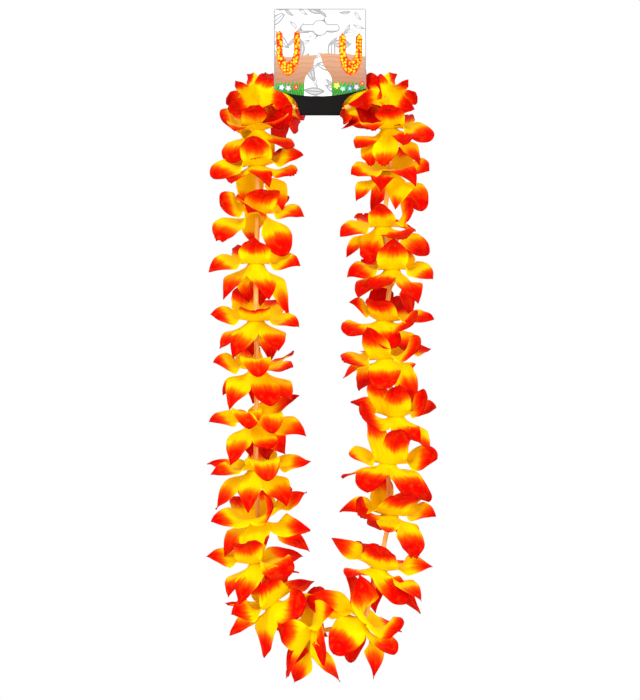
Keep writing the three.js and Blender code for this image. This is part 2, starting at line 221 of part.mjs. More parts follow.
  [15,0,46.5,5.8,-458.4,42.5,15.6,-450.9,39.7,28.7,-442.7,36.5,39.4,-439.4,0.36,-0.36,0.86,24.6,1,0.23],
  [15,0,56.7,-2.4,-461,68.8,-5.7,-457.9,84,-7.8,-456,95.6,-9.5,-457.3,-0.16,-0.64,0.75,25.4,0,0.53],
  [15,0,54.5,5.5,-460.4,62.8,14.9,-457,71.5,24.6,-453.9,77.6,32.6,-455.4,0.04,-0.2,0.98,26.4,0,0.49],
  [15,1,43.5,-1.9,-458.7,31.8,-7.1,-461.1,27.6,-13.7,-461.5,22.9,-19.1,-466.6,-0.05,-0.34,0.94,28.4,0,0.35],
  [15,1,49.8,-7,-460.3,52.5,-17.1,-468,64.4,-14.5,-476.9,73.1,-12.4,-487.9,0.5,-0.73,0.46,27.8,1,0.29],
  [15,1,54.2,5.5,-461.4,61.3,11.2,-470.6,74.6,5,-483.4,84.1,0,-498.9,0.56,-0.54,0.63,28,0,0.35],
  [15,1,56.4,-2.4,-461.9,66.3,-7.3,-468.9,77.7,-15.2,-475.2,85.8,-21.8,-485.3,0.37,-0.41,0.84,26.9,0,0.53],
  [15,1,46.2,5.8,-459.4,42.9,12.2,-470.2,45.7,12.3,-482.9,46.8,12.3,-498.1,0.66,-0.75,0,25.8,0,0.23],
  [16,0,53,-2.4,-412.9,41.3,-6.8,-407,28.8,-11.1,-402.7,17.4,-14.7,-412.2,0.15,-0.52,0.84,26.6,0,0.47],
  [16,0,55.2,5.5,-413.1,53.3,9.9,-401,52.3,15.3,-385.7,51,19.7,-379.1,0.41,-0.82,0.39,21.6,1,0.47],
  [16,0,59.8,-7,-413.5,62.1,-17.6,-406.4,69.2,-29.8,-399.4,74.8,-39.8,-396.1,-0.11,0.4,0.91,28.6,1,0.34],
  [16,0,66.2,-1.9,-414,78.2,-6.7,-412.5,89.2,-15.7,-410.6,97.8,-23,-415.2,-0.31,-0.47,0.83,28,0,0.5],
  [16,0,63.4,5.8,-413.8,69.9,14.4,-406.5,76.8,23.8,-399.8,82.2,31.4,-396.4,-0.13,-0.47,0.87,25.7,1,0.43],
  [16,1,52.9,-2.4,-413.9,42.3,-9.6,-411.2,37.6,-24,-407.7,33.1,-35.8,-412.2,0.73,-0.3,0.61,27.6,2,0.23],
  [16,1,59.7,-7,-414.5,59.3,-19.4,-418.3,57.7,-32.9,-419.8,56.1,-44,-425,0.06,-0.25,0.97,21.6,1,0.74],
  [16,1,66.2,-1.9,-415,72.8,-4.9,-425.8,77.3,-9.2,-437.9,80.8,-12.8,-450.5,0.57,-0.7,0.43,27.8,3,0.38],
  [16,1,55.2,5.5,-414.1,49.4,16.3,-418.6,50.6,30.2,-421,51,41.7,-429.2,0.09,0.36,0.93,21.6,1,0.2],
  [16,1,63.4,5.8,-414.8,69.2,15.2,-421.6,74.4,23.8,-428.3,78.4,30.8,-436.3,0.29,0.53,0.8,24.6,1,0.43],
  [17,0,52.8,-4.9,-369.8,50.2,-7.8,-357.4,46.1,-11.4,-341.7,42.5,-14.4,-333.2,0.76,0.54,0.36,28.6,1,0.53],
  [17,0,51.7,3.3,-369.7,39.3,4.3,-365.8,31.6,-10.2,-363.8,25.1,-22,-364.6,0.57,-0.33,0.75,27.9,0,0.62],
  [17,0,60.9,-6.3,-370.3,64.3,-14.8,-361.1,65,-29.6,-348.6,65.5,-41.8,-340,0.03,0.64,0.77,21.6,1,0.34],
  [17,0,64.7,1,-370.5,77.4,-0.1,-367.9,89.3,-10,-364.3,98.6,-18.2,-367.2,-0.51,-0.64,0.58,26.2,1,0.47],
  [17,0,59,6.9,-370.2,61.3,17.9,-363.7,63.8,31.4,-357.7,65.6,42.4,-354.9,0.14,-0.39,0.91,24.1,0,0.45],
  [17,1,53.5,-5.5,-370.8,46.9,-14.9,-376.9,42.3,-26,-382.3,38.2,-35,-392.7,-0.14,-0.54,0.83,28.4,1,0.32],
  [17,1,61.7,-5.8,-371.3,67.5,-14.1,-379.5,74.5,-21,-387.6,79.9,-26.7,-399.5,0.37,-0.62,0.69,28,1,0.32],
  [17,1,64.5,1.9,-371.5,73.8,3.9,-380.3,83.4,3.6,-390.1,91,3.3,-403.8,0.67,-0.52,0.53,27.9,1,0.47],
  [17,1,58,7,-371.1,57.3,18.7,-376.7,54,32.5,-381.9,51,43.7,-391.8,-0.04,0.48,0.88,21.6,0,0.2],
  [17,1,51.2,2.4,-370.7,39.6,6.5,-374.9,28.7,10.4,-377,19.5,13.6,-383.7,-0.35,0.05,0.94,25.7,1,0.47],
  [18,0,58,-2.4,-330.3,51.9,-6.3,-319.5,48.6,-14.9,-308.1,45.9,-22,-300.9,0.3,0.71,0.64,21.6,1,0.5],
  [18,0,60.3,5.5,-330.3,49.8,11.3,-325.2,36.4,2.3,-319.7,25.5,-5,-319.2,0.46,-0.47,0.75,26,0,0.38],
  [18,0,64.8,-7,-330.1,65,-15.7,-320.5,65.7,-26.8,-309.4,66.3,-35.9,-302.6,-0.08,0.68,0.73,23.4,0,0.34],
  [18,0,71.3,-1.9,-330,80.8,-6.6,-322.4,86.8,-15.4,-316.8,91.8,-22.5,-314.5,-0.82,-0.5,0.27,24.9,1,0.29],
  [18,0,68.5,5.8,-330,79.4,11.6,-326,89.9,-2.4,-322.1,98.6,-13.9,-323.4,-0.54,-0.38,0.75,27.3,0,0.47],
  [18,1,58.4,-3.3,-331.3,48.4,-11.4,-332.8,40.9,-29.4,-327.4,34.9,-44,-328.9,0.81,-0.33,0.49,28.6,1,0.35],
  [18,1,65.8,-6.9,-331.1,70,-16.4,-339,77.8,-20.3,-345.2,84.1,-23.5,-352.8,0.33,-0.61,0.72,27.3,0,0.29],
  [18,1,71.5,-1,-331,81,-4.2,-339.2,86.9,-11.8,-348,91.8,-18,-360.4,0.5,-0.56,0.66,24.2,0,0.56],
  [18,1,59.6,4.9,-331.3,52.9,15.4,-334.9,54.1,30.2,-336.6,55.2,42.2,-342.6,-0.03,0.26,0.97,21.6,0,0.23],
  [18,1,67.7,6.3,-331.1,71.2,15.6,-339.5,71.2,24,-348.2,71.4,30.8,-358.7,0.02,0.76,0.65,21.6,0,0.35],
  [19,0,52.6,-6.5,-281.2,48.4,-15.5,-272.8,43.1,-31.2,-261.4,39.1,-44,-254.2,0.05,0.56,0.83,23.4,0,0.34],
  [19,0,48.3,0.5,-281.6,35.5,-1.9,-281.2,27.1,-12.9,-282.6,20.4,-22,-285.6,0.23,-0.39,0.89,26,2,0.44],
  [19,0,60.5,-4.5,-280.2,68.9,-13.5,-276,76.9,-28,-271.3,84.1,-39.9,-273.7,-0.76,-0.37,0.54,27.7,1,0.44],
  [19,0,61.1,3.7,-280.2,71.4,10.3,-275.8,84,17.5,-271.6,94.8,23.4,-272.8,0.1,-0.48,0.87,26.6,0,0.47],
  [19,0,53.5,6.8,-281,50.1,18.5,-276.5,46.5,31.9,-272.2,44.1,42.9,-272.9,-0.12,-0.23,0.97,26.5,2,0.44],
  [19,1,56,-7,-281.8,56.8,-17.7,-289.1,53.8,-28.6,-296.2,51.9,-37.6,-306.8,-0.14,-0.62,0.78,28.6,1,0.35],
  [19,1,62.1,-1.5,-281.1,69.8,-1.5,-291.6,74.1,1,-303.7,78.2,3.1,-317.9,0.61,-0.78,0.11,25.8,1,0.47],
  [19,1,50.7,5.2,-282.4,44.4,13.4,-290.4,38.4,22.1,-298.1,34,29.3,-309.4,-0.48,0.49,0.73,28.2,0,0.35],
  [19,1,49,-2.8,-282.6,37.8,-7.1,-287.6,27,-8.8,-289.3,18.8,-10.1,-296.4,-0.34,-0.23,0.91,24.3,0,0.49],
  [19,1,58.8,6.1,-281.4,65.4,16.7,-285.1,71.6,27,-286.8,77,35.5,-291.5,0.09,0.25,0.96,23.1,2,0.45],
  [20,0,48.5,-1.5,-248,38.5,-5.7,-240.9,31.6,-14.7,-235.6,25.9,-22,-232.9,0.76,-0.37,0.52,22.9,0,0.41],
  [20,0,54.6,-7,-248.5,53.3,-18,-241.7,49.5,-31.2,-233.1,45.9,-42,-232,0.19,0.37,0.91,24.8,1,0.34],
  [20,0,51.8,6.1,-248.3,50.4,12.7,-237.2,52.8,20.2,-225.5,54.4,26.3,-221,-0.05,-0.79,0.61,21.6,1,0.2],
  [20,0,60,5.2,-248.9,66.2,14.1,-241.8,68.3,27.5,-233.3,69.7,38.3,-229.5,-0.01,-0.49,0.87,21.6,1,0.23],
  [20,0,61.7,-2.8,-249.1,73.2,-8.4,-246.9,86,-16.3,-244.3,96,-22.8,-248.2,-0.27,-0.42,0.87,27.6,0,0.47],
  [20,1,48.2,0.5,-249,36,-2,-252.5,28.9,-12.8,-255.6,23,-21.6,-260.9,0.12,-0.49,0.86,27.4,1,0.41],
  [20,1,52.6,-6.5,-249.3,52.2,-15.6,-258.6,58.7,-16.2,-263.7,63.8,-16.7,-272,0.42,-0.75,0.51,27.7,1,0.32],
  [20,1,60.6,-4.5,-250,69.1,-14.2,-251.4,74.3,-28.4,-249.3,78.2,-40,-251.6,-0.66,-0.28,0.7,27,1,0.32],
  [20,1,61.1,3.7,-250,69.6,6.3,-259.5,74.9,1.8,-267.5,79,-1.9,-277.1,0.56,-0.61,0.56,27.4,1,0.41],
  [20,1,53.5,6.8,-249.4,49.7,16.2,-257.6,44,24,-265.4,39.1,30.5,-275.4,-0.3,0.62,0.72,22.4,0,0.41],
  [21,0,61.4,-7,-205.2,61.5,-17,-196.9,61.3,-31.8,-185.1,61.2,-44,-181,-0.02,0.54,0.84,27.1,0,0.34],
  [21,0,54.6,-2.4,-205.3,42.8,-7.7,-204.1,31.8,-15.5,-206.6,22.9,-22,-212.1,0.14,-0.56,0.82,27.6,0,0.38],
  [21,0,67.9,-1.9,-205.1,79.8,-7,-204.1,88.3,-15.3,-208.2,95.2,-22,-214.2,-0.07,-0.54,0.84,26.8,0,0.53],
  [21,0,65.1,5.8,-205.1,69.1,13.7,-195.6,70.3,22.2,-188,71.4,29.1,-183.6,-0.16,-0.63,0.76,21.6,0,0.35],
  [21,0,56.9,5.5,-205.3,49.3,15.1,-200.8,41.5,25,-197.8,35.2,33.1,-197.2,-0.07,-0.3,0.95,23.8,0,0.46],
  [21,1,54.2,0.5,-206.3,43.8,-1.9,-213.7,37.4,-12.9,-221.6,32.3,-21.9,-229.9,-0.36,-0.46,0.81,27.2,0,0.26],
  [21,1,58.6,-6.5,-206.3,54.4,-17.5,-211.7,50.1,-29.9,-216.6,46.8,-40,-224.4,-0.17,-0.42,0.89,23.7,2,0.26],
  [21,1,66.6,-4.5,-206.1,73.5,-11.4,-214.7,78.1,-19.7,-224.8,82,-26.6,-235.4,0.37,-0.65,0.66,26,0,0.32],
  [21,1,67.1,3.7,-206.1,72.1,6.3,-217.8,74.4,6.7,-230.9,76.5,7.1,-247.3,0.76,-0.64,0.11,24.2,0,0.26],
  [21,1,59.5,6.8,-206.2,56.7,17.8,-212.6,52.6,31.8,-220.3,49.3,43.4,-231.2,-0.17,0.52,0.84,21.6,1,0.65],
  [22,0,46.7,-1.5,-168.8,34.5,-5.9,-168.8,24.8,-14.7,-172.7,17,-22,-178.1,0.08,-0.52,0.85,26.8,0,0.41],
  [22,0,50,6.1,-168.7,44.7,16.8,-163.7,40.6,30.8,-158.1,37.4,42.3,-158.9,0.05,-0.23,0.97,25.3,1,0.23],
  [22,0,52.8,-7,-168.7,51.7,-17.9,-161.7,50.8,-31.6,-154.5,50.1,-42.8,-151.3,0.01,0.42,0.91,22.5,0,0.34],
  [22,0,59.9,-2.8,-168.5,69,-8.6,-161.2,74.5,-16.5,-154.9,79,-23,-154.7,-0.82,-0.5,0.28,26.3,1,0.44],
  [22,0,58.2,5.2,-168.6,66.5,15,-166.6,75.3,26.9,-167.9,82.5,36.6,-171.3,0.49,-0.25,0.83,23.4,0,0.29],
  [22,1,57.1,-6.1,-169.6,62.9,-17.1,-173.3,67.5,-29.7,-176,71.4,-40,-181,-0.15,-0.36,0.92,28.5,2,0.26],
  [22,1,60.4,1.5,-169.5,71.2,1.9,-176.8,81.6,-2.8,-185.5,90.1,-6.6,-194.7,0.37,-0.63,0.68,28,1,0.47],
  [22,1,48.9,-5.2,-169.7,45.1,-8.7,-181.7,44.1,-7.7,-189.2,43.4,-6.8,-200.6,-0.64,-0.76,0.07,26.6,2,0.35],
  [22,1,54.3,7,-169.6,55.5,17.4,-177.3,56.7,30.8,-185.9,57.8,41.7,-198.9,0.04,0.64,0.77,21.6,1,0.59],
  [22,1,47.2,2.8,-169.8,37.8,7.1,-177.7,29.3,10.9,-185.2,22.4,14.1,-194.1,-0.51,0.46,0.72,25.1,0,0.53],
  [23,0,60.3,-7,-121.9,64.1,-19.4,-117.9,73.3,-28.6,-119.6,79.9,-36,-136.8,0.11,-0.51,0.85,27.9,0,0.34],
  [23,0,53.1,-2.8,-121.5,41.8,-9,-120.1,33.3,-16.1,-123.2,26.3,-22,-127.1,0.14,-0.52,0.84,28.2,0,0.47],
  [23,0,66.4,-1.5,-122.3,78.4,-5.9,-120.1,86.1,-13.8,-119.1,92.2,-20.3,-122,-0.42,-0.5,0.76,27.9,0,0.44],
  [23,0,54.9,5.2,-121.6,49.3,14.5,-114.4,48.1,28.3,-106.2,46.8,39.5,-103.7,0.14,-0.42,0.9,21.6,1,0.53],
  [23,0,63,6.1,-122.1,68,13.7,-112.8,73.6,22.1,-101.3,77.8,29,-97.8,-0.38,-0.55,0.74,24.7,2,0.46],
  [23,1,56.4,-6.3,-122.7,52.3,-17.4,-126.2,51.9,-30.4,-128.5,51,-41,-140.2,0.02,-0.45,0.89,21.6,0,0.26],
  [23,1,52.6,1,-122.5,41.9,-0.9,-129.8,36.3,-10.8,-137.8,31.4,-19,-148.8,-0.35,-0.57,0.75,21.6,0,0.56],
  [23,1,64.5,-4.9,-123.2,68.6,-12.7,-132.7,65.9,-21.5,-141.8,63.3,-28.6,-154.7,-0.05,-0.79,0.61,24.5,0,0.68],
  [23,1,65.6,3.3,-123.3,74.1,5.3,-133,81.1,0.3,-143.3,86.7,-3.8,-155.5,0.44,-0.73,0.51,28,1,0.44],
  [23,1,58.3,6.9,-122.8,54.9,15.1,-132.3,49.1,20.3,-144,44.2,24.6,-155.5,-0.51,0.66,0.55,21.6,0,0.35],
  [24,0,59.8,-6.9,-85.3,60.5,-18.2,-78.9,58.5,-32.4,-72.1,56.9,-44,-69.7,-0.02,0.37,0.93,24.9,2,0.34],
  [24,0,65.5,-1,-84.9,78.1,-4.4,-84.9,85.4,-10.3,-88.5,91.8,-15.1,-97.8,0.14,-0.58,0.8,27.8,1,0.41],
  [24,0,61.7,6.3,-85.2,66.4,17,-79.4,71.9,30.3,-73.3,76.5,41.1,-71.4,-0.18,-0.28,0.94,27.2,0,0.29],
  [24,0,52.5,-3.3,-85.7,43.1,-12.4,-80.7,43.7,-29.8,-78.5,45,-44,-91,-0.07,-0.17,0.98,21.6,2,0.62],
  [24,0,53.6,4.9,-85.7,46,11.5,-77.4,37.7,18,-67.9,31.2,23.4,-65.6,0.49,-0.29,0.82,26.1,2,0.41],
  [24,1,55.2,6.1,-86.6,45,11.9,-92.1,37,-4.9,-96.9,30.6,-18.6,-103.3,-0.08,-0.37,0.93,27.5,0,0.44],
  [24,1,51.8,-1.5,-86.8,45,-4.8,-97.3,43.4,-9.5,-105.1,42.5,-13.4,-117.3,-0.52,-0.74,0.43,21.7,2,0.62],
  [24,1,57.9,-7,-86.4,57.2,-14.4,-97,55.5,-18.8,-106.8,54.4,-22.4,-119,-0.38,-0.83,0.4,23.6,2,0.62],
  [24,1,65.1,-2.8,-86,73.8,-11.3,-89.1,71.4,-28.4,-94.1,69.7,-42.4,-103.7,-0.08,-0.4,0.91,21.6,0,0.26],
  [24,1,63.4,5.2,-86.1,72.5,8.3,-94.8,78.8,-2.4,-104.9,84.1,-11.2,-116.5,0.4,-0.6,0.7,21.6,0,0.53],
  [25,0,53.2,-2,-52.4,46.9,1.3,-41.5,45.5,12.2,-43.4,43.4,25.9,-44.2,-0.62,-0.18,0.77,16,1,0.12],
  [25,0,61,-0.1,-54.1,66.1,-12,-52.8,71,-28.7,-50.2,74,-37.2,-47.2,-0.23,-0.26,-0.94,11.9,0,0.34],
  [25,0,61.6,1.3,-62.2,67.8,-9.5,-65.9,75.2,-20.9,-69.1,80.8,-28.3,-71.4,-0.79,-0.58,0.2,13.5,0,0.2],
  [25,0,54.1,0.2,-65.5,54.9,-11.5,-71,56.2,-27.8,-71.8,56.9,-39.9,-72.2,0.36,-0.07,0.93,26.1,0,0.18],
  [25,0,48.9,-1.8,-59.5,43.3,-13.3,-61.6,33.7,-30.3,-63.9,25.5,-42.3,-65.5,0.86,-0.5,-0.1,18.2,0,0.14],
  [25,1,58.1,-0,-52.1,59.9,10.3,-44.3,62.6,21.9,-41,63.8,36.5,-37.4,0.9,-0.26,0.35,15.4,0,0.42],
  [25,1,62.4,2,-58.8,75.1,-0.8,-59.2,79.9,-14,-60.1,83.3,-22,-60.4,-0.83,-0.46,-0.32,13.5,1,0.28],
  [25,1,57.3,1.9,-65.2,61.7,0.5,-77.4,66,-10.6,-81.5,68.4,-14.8,-84.1,-0.32,-0.65,0.69,13.5,0,0.12],
  [25,1,49.8,-0.1,-62.4,40,-3.9,-70.2,37.4,-16,-76.7,34.9,-23.8,-81.6,0.72,-0.56,0.41,27.5,1,0.06],
  [25,1,50.3,-1.3,-54.3,44.4,9.6,-50.2,41.2,25.6,-49.3,37.4,44,-47.6,-0.86,-0.25,0.45,13.6,1,0.1],
  [26,0,35.8,-2.7,-59.1,39.2,-1.2,-46.7,32.5,21.7,-39.4,28.9,44,-33.1,-0.89,-0.32,0.33,22.8,1,0.2],
  [26,0,28.5,1.1,-58.8,20.9,7.4,-50.4,15,23.6,-50.9,12.8,42,-51,-0.95,-0.3,-0.01,21.6,0,0.2],
  [26,0,26.1,2.7,-66.5,16.4,10.4,-70.5,16.5,18.7,-72.5,18.3,28.8,-74,-0.9,-0.18,-0.4,21.6,0,0.1],
  [26,0,32,0,-71.6,29.8,6.7,-82.6,29.6,15.4,-78.9,32.3,28.2,-75.6,-0.55,-0.07,0.84,28.5,0,0.1],
  [26,0,38,-3.3,-67.1,49.9,-1.9,-72,50.2,21.4,-67.3,52.4,44,-63.2,-0.05,-0.14,0.99,23.8,0,0.3],
  [26,1,36.9,-2.1,-59.8,44.5,2,-50,41.4,6.5,-43.2,41.2,14.7,-37.4,-0.59,-0.63,0.5,21.6,0,0.02],
  [26,1,29.7,1.5,-58.3,27.3,10.9,-49.6,19.6,26.2,-44,16.1,44,-39.1,-0.89,-0.4,0.23,21.6,1,0.2],
  [26,1,26.4,3.7,-65.5,22.3,16,-65.5,19.3,29.4,-63.3,18.7,44,-61.2,-0.98,-0.18,0.09,21.6,1,0.2],
  [26,1,31.6,1.3,-71.5,34.9,11.4,-79,36.7,17,-82.4,39.9,25.2,-85,-0.37,-0.32,-0.87,28.6,0,0.1],
  [26,1,38.1,-2.2,-67.9,47.5,5.4,-72.5,49,13.2,-75.5,51.9,22.6,-77.8,-0.14,-0.28,-0.95,27.2,0,0.2],
];

// ---- solids ----
function toSolid(geometry) {
  const g = geometry.index || geometry.attributes.uv ? geometry.clone() : geometry;
  g.deleteAttribute('normal');
  g.deleteAttribute('uv');
  const m = BGU.mergeVertices(g, 1e-4);
  return new wasm.Manifold(new wasm.Mesh({
    numProp: 3,
    vertProperties: new Float32Array(m.attributes.position.array),
    triVerts: new Uint32Array(m.index.array),
  }));
}

function toGeometry(solid) {
  const mesh = solid.getMesh();
  const n = mesh.numProp, count = mesh.vertProperties.length / n;
  const pos = new Float32Array(count * 3);
  for (let i = 0; i < count; i++) for (let k = 0; k < 3; k++) pos[3 * i + k] = mesh.vertProperties[n * i + k];
  const g = new THREE.BufferGeometry();
  g.setAttribute('position', new THREE.BufferAttribute(pos, 3));
  g.setIndex(new THREE.BufferAttribute(new Uint32Array(mesh.triVerts), 1));
  g.computeVertexNormals();
  return g;
}

const POINTED = 1.65, ROUND = 2.1;
function widthAt(s, tip) {
  const b = 0.39 + 0.61 * Math.sin(Math.min(1, s / 0.34) * Math.PI / 2);
  const u = Math.max(0, (s - 0.5) / 0.5);
  let e;
  if (tip === 1) e = Math.sqrt(Math.max(0, 1 - Math.pow(u, ROUND)));
  else if (tip > 1) e = Math.pow(Math.max(0, 1 - Math.pow(u, 2.4)), 0.6);
  else e = Math.max(0, 1 - Math.pow(Math.max(0, (s - 0.42) / 0.58), POINTED));
  return b * e;
}

// One petal as a thin closed solid; grow makes it fatter all round, to cut a clearance with.
function petalGeometry(row, grow = 0) {
  const axis = new THREE.Vector3(...FLOWERS[row[0]][1]);
  const P = [0, 1, 2, 3].map((k) => new THREE.Vector3(row[2 + 3 * k], row[3 + 3 * k], row[4 + 3 * k]));
  const curve = new THREE.CubicBezierCurve3(...P);
  const outer = new THREE.Vector3(row[14], row[15], row[16]);
  const width = row[17], tip = row[18];
  const t0 = P[1].clone().sub(P[0]).normalize();
  const inner = axis.clone().addScaledVector(t0, -axis.dot(t0)).normalize();
  const half = PETAL_T / 2 + grow;
  const rows = [0, 0.42, 0.8, 1];
  const verts = [], at = [];
  const put = (v) => { verts.push(v.x, v.y, v.z); return verts.length / 3 - 1; };
  rows.forEach((s, i) => {
    const c = curve.getPoint(s), T = curve.getTangent(Math.min(s, 0.999));
    let k = Math.min(1, s / 0.5); k = k * k * (3 - 2 * k);
    const N = inner.clone().multiplyScalar(1 - k).addScaledVector(outer, k);
    N.addScaledVector(T, -N.dot(T)).normalize();
    const W = new THREE.Vector3().crossVectors(N, T);
    const h = (i ? 0.5 * width * widthAt(s, tip) * (i === 1 ? 0.86 : 1) : 2.0) + grow;
    if (i < rows.length - 1) {
      at.push([[-1, 1], [1, 1], [1, -1], [-1, -1]].map(([w, n]) =>
        put(c.clone().addScaledVector(W, w * h).addScaledVector(N, n * half))));
    } else {
      const e = c.clone().addScaledVector(T, grow);
      at.push([put(e.clone().addScaledVector(N, half)), put(e.clone().addScaledVector(N, -half))]);
    }
  });
  const tri = [];
  const quad = (a, b, c, d) => tri.push(a, b, c, a, c, d);
  quad(at[0][0], at[0][1], at[0][2], at[0][3]);
  for (let i = 0; i < 2; i++) {
    const a = at[i], b = at[i + 1];
    for (const k of [0, 1, 3]) quad(a[k], b[k], b[(k + 1) % 4], a[(k + 1) % 4]);
    tri.push(a[2], b[2], a[3], b[2], b[3], a[3]);   // same diagonal below as above, so a twisted petal keeps its thickness
  }
  const a = at[2], [u, v] = at[3];
  tri.push(a[0], u, a[1]);
  tri.push(a[2], v, a[3]);
  quad(a[1], u, v, a[2]);
  quad(a[3], v, u, a[0]);
  const g = new THREE.BufferGeometry();
  g.setAttribute('position', new THREE.BufferAttribute(new Float32Array(verts), 3));
  g.setIndex(tri);
  return g;
}

function closed(geometry) {
  let s = toSolid(geometry);
  if (s.volume() < 0) {
    const idx = geometry.index.array.slice();
    for (let i = 0; i < idx.length; i += 3) [idx[i + 1], idx[i + 2]] = [idx[i + 2], idx[i + 1]];
    const g = geometry.clone();
    g.setIndex(new THREE.BufferAttribute(new Uint32Array(idx), 1));
    s = toSolid(g);
  }
  return s;
}

// a ring turned about the local Y axis, then stood on a direction
function ring(ri, ro, h0, h1, segments, centre, direction) {
  const pts = [[ri, h0], [ro, h0], [ro, h1], [ri, h1], [ri, h0]].map((p) => new THREE.Vector2(...p));
  const g = new THREE.LatheGeometry(pts, segments);
  g.applyQuaternion(new THREE.Quaternion().setFromUnitVectors(new THREE.Vector3(0, 1, 0), direction));
  g.translate(centre.x, centre.y, centre.z);
  return g;
}
function rod(r, h0, h1, segments, centre, direction) {
  const g = new THREE.LatheGeometry([[0, h0], [r, h0], [r, h1], [0, h1]].map((p) => new THREE.Vector2(...p)), segments);
  g.applyQuaternion(new THREE.Quaternion().setFromUnitVectors(new THREE.Vector3(0, 1, 0), direction));
  g.translate(centre.x, centre.y, centre.z);
  return g;
}

// ---- the header card ----
function half(side) {
  return [[CARD_HALF, CARD_SHOULDER], [31, -55], [24.5, -58.6], [20, -64], [18.5, -69]].map(([x, z]) => [side * x, z]);
}
const outline = new THREE.Shape();
const foldZ = CARD_FOLD + SLEEVE_IN + CARD_T;   // centre of the fold
outline.moveTo(-CARD_HALF + 1.5, CARD_TOP);
for (const [x, z] of [[-CARD_HALF, CARD_TOP - 1.5], ...half(-1), [-TAB_HALF, foldZ], [TAB_HALF, foldZ],
  ...half(1).reverse(), [CARD_HALF, CARD_TOP - 1.5], [CARD_HALF - 1.5, CARD_TOP]]) outline.lineTo(x, z);
outline.closePath();
const slot = new THREE.Path();
{
  const a0 = Math.asin(SLOT_H / 2 / SLOT_R), pts = [], N = 6, r = SLOT_H / 2;
  const arc = (cx, cz, rad, from, to, n) => {
    for (let i = 0; i <= n; i++) { const a = from + (to - from) * i / n; pts.push([cx + rad * Math.cos(a), cz + rad * Math.sin(a)]); }
  };
  arc(0, 0, SLOT_R, a0, Math.PI - a0, N + 2);
  arc(-SLOT_W / 2 + r, 0, r, Math.PI / 2, 1.5 * Math.PI, N);
  arc(0, 0, SLOT_R, Math.PI + a0, 2 * Math.PI - a0, N + 2);
  arc(SLOT_W / 2 - r, 0, r, -Math.PI / 2, Math.PI / 2, N);
  pts.forEach(([x, z], i) => (i ? slot.lineTo(x, z) : slot.moveTo(x, z)));
  slot.closePath();
}
outline.holes.push(slot);
const panel = new THREE.ExtrudeGeometry(outline, { depth: CARD_T, bevelEnabled: false, curveSegments: 4 });
panel.rotateX(Math.PI / 2);            // shape's y becomes Z, depth runs to -Y
panel.translate(0, CARD_Y + CARD_T, 0);
// the tab: round the fold, up behind the thread, and glued to the back of the panel
const lap = 0.02;                       // the flap sinks into the panel where it is glued
const prof = [];                        // (y, z) outside then inside
const yo = SLEEVE_IN + CARD_T, yi = SLEEVE_IN;
prof.push([-yo, foldZ + 2], [-yo, foldZ]);
for (let i = 1; i < 8; i++) { const a = Math.PI + Math.PI * i / 8; prof.push([yo * Math.cos(a), foldZ + yo * Math.sin(a)]); }
prof.push([yo, foldZ], [yo, -64], [-yi + CARD_T, -60.2], [-yi + CARD_T, -53.5], [-yi - lap * 5, -53.5], [-yi - lap * 5, -60.6],
  [-yi + 0.05, -60.6], [yi, -64.3], [yi, foldZ]);
for (let i = 7; i > 0; i--) { const a = Math.PI + Math.PI * i / 8; prof.push([yi * Math.cos(a), foldZ + yi * Math.sin(a)]); }
prof.push([-yi, foldZ], [-yi, foldZ + 2]);
const flapShape = new THREE.Shape(prof.map(([y, z]) => new THREE.Vector2(y, z)));
const flap = new THREE.ExtrudeGeometry(flapShape, { depth: 2 * TAB_HALF - 0.4, bevelEnabled: false });
// shape x -> Y, shape y -> Z, depth -> X
flap.applyMatrix4(new THREE.Matrix4().makeBasis(new THREE.Vector3(0, 1, 0), new THREE.Vector3(0, 0, 1), new THREE.Vector3(1, 0, 0)));
flap.translate(-TAB_HALF + 0.2, 0, 0);
const cardSolid = toSolid(panel).add(toSolid(flap));
// a fatter card, to cut the flowers clear of it
const fatOutline = new THREE.Shape();
{
  const e = GAP + 0.15;
  fatOutline.moveTo(-CARD_HALF - e, CARD_TOP + e);
  for (const [x, z] of [...half(-1).map(([x, z]) => [x - e, z - e]), [-TAB_HALF - e, foldZ - e], [-TAB_HALF - e, CARD_FOLD - e],
    [TAB_HALF + e, CARD_FOLD - e], [TAB_HALF + e, foldZ - e],
    ...half(1).reverse().map(([x, z]) => [x + e, z - e]), [CARD_HALF + e, CARD_TOP + e]]) fatOutline.lineTo(x, z);
  fatOutline.closePath();
}
const fatPanel = new THREE.ExtrudeGeometry(fatOutline, { depth: CARD_T + 2 * GAP, bevelEnabled: false });
fatPanel.rotateX(Math.PI / 2);
fatPanel.translate(0, CARD_Y + CARD_T + GAP, 0);
const fatFlap = new THREE.BoxGeometry(2 * TAB_HALF + 2 * GAP, 2 * yo + 2 * GAP, 22.5);
fatFlap.translate(0, 0, CARD_FOLD + 22.5 / 2 - GAP);
const fatCard = toSolid(fatPanel).add(toSolid(fatFlap));

// ---- the string: route of the thread through every hub and through the sleeve ----
const V = (a) => new THREE.Vector3(...a);
const hubs = FLOWERS.map(([h]) => V(h));
const axes = FLOWERS.map(([, a]) => V(a).normalize());
const names = FLOWERS.map((_, i) => 'flower_' + String(i + 1).padStart(2, '0'));
const sleeveL = V([-TAB_HALF, 0, SLEEVE_Z]), sleeveR = V([TAB_HALF, 0, SLEEVE_Z]);

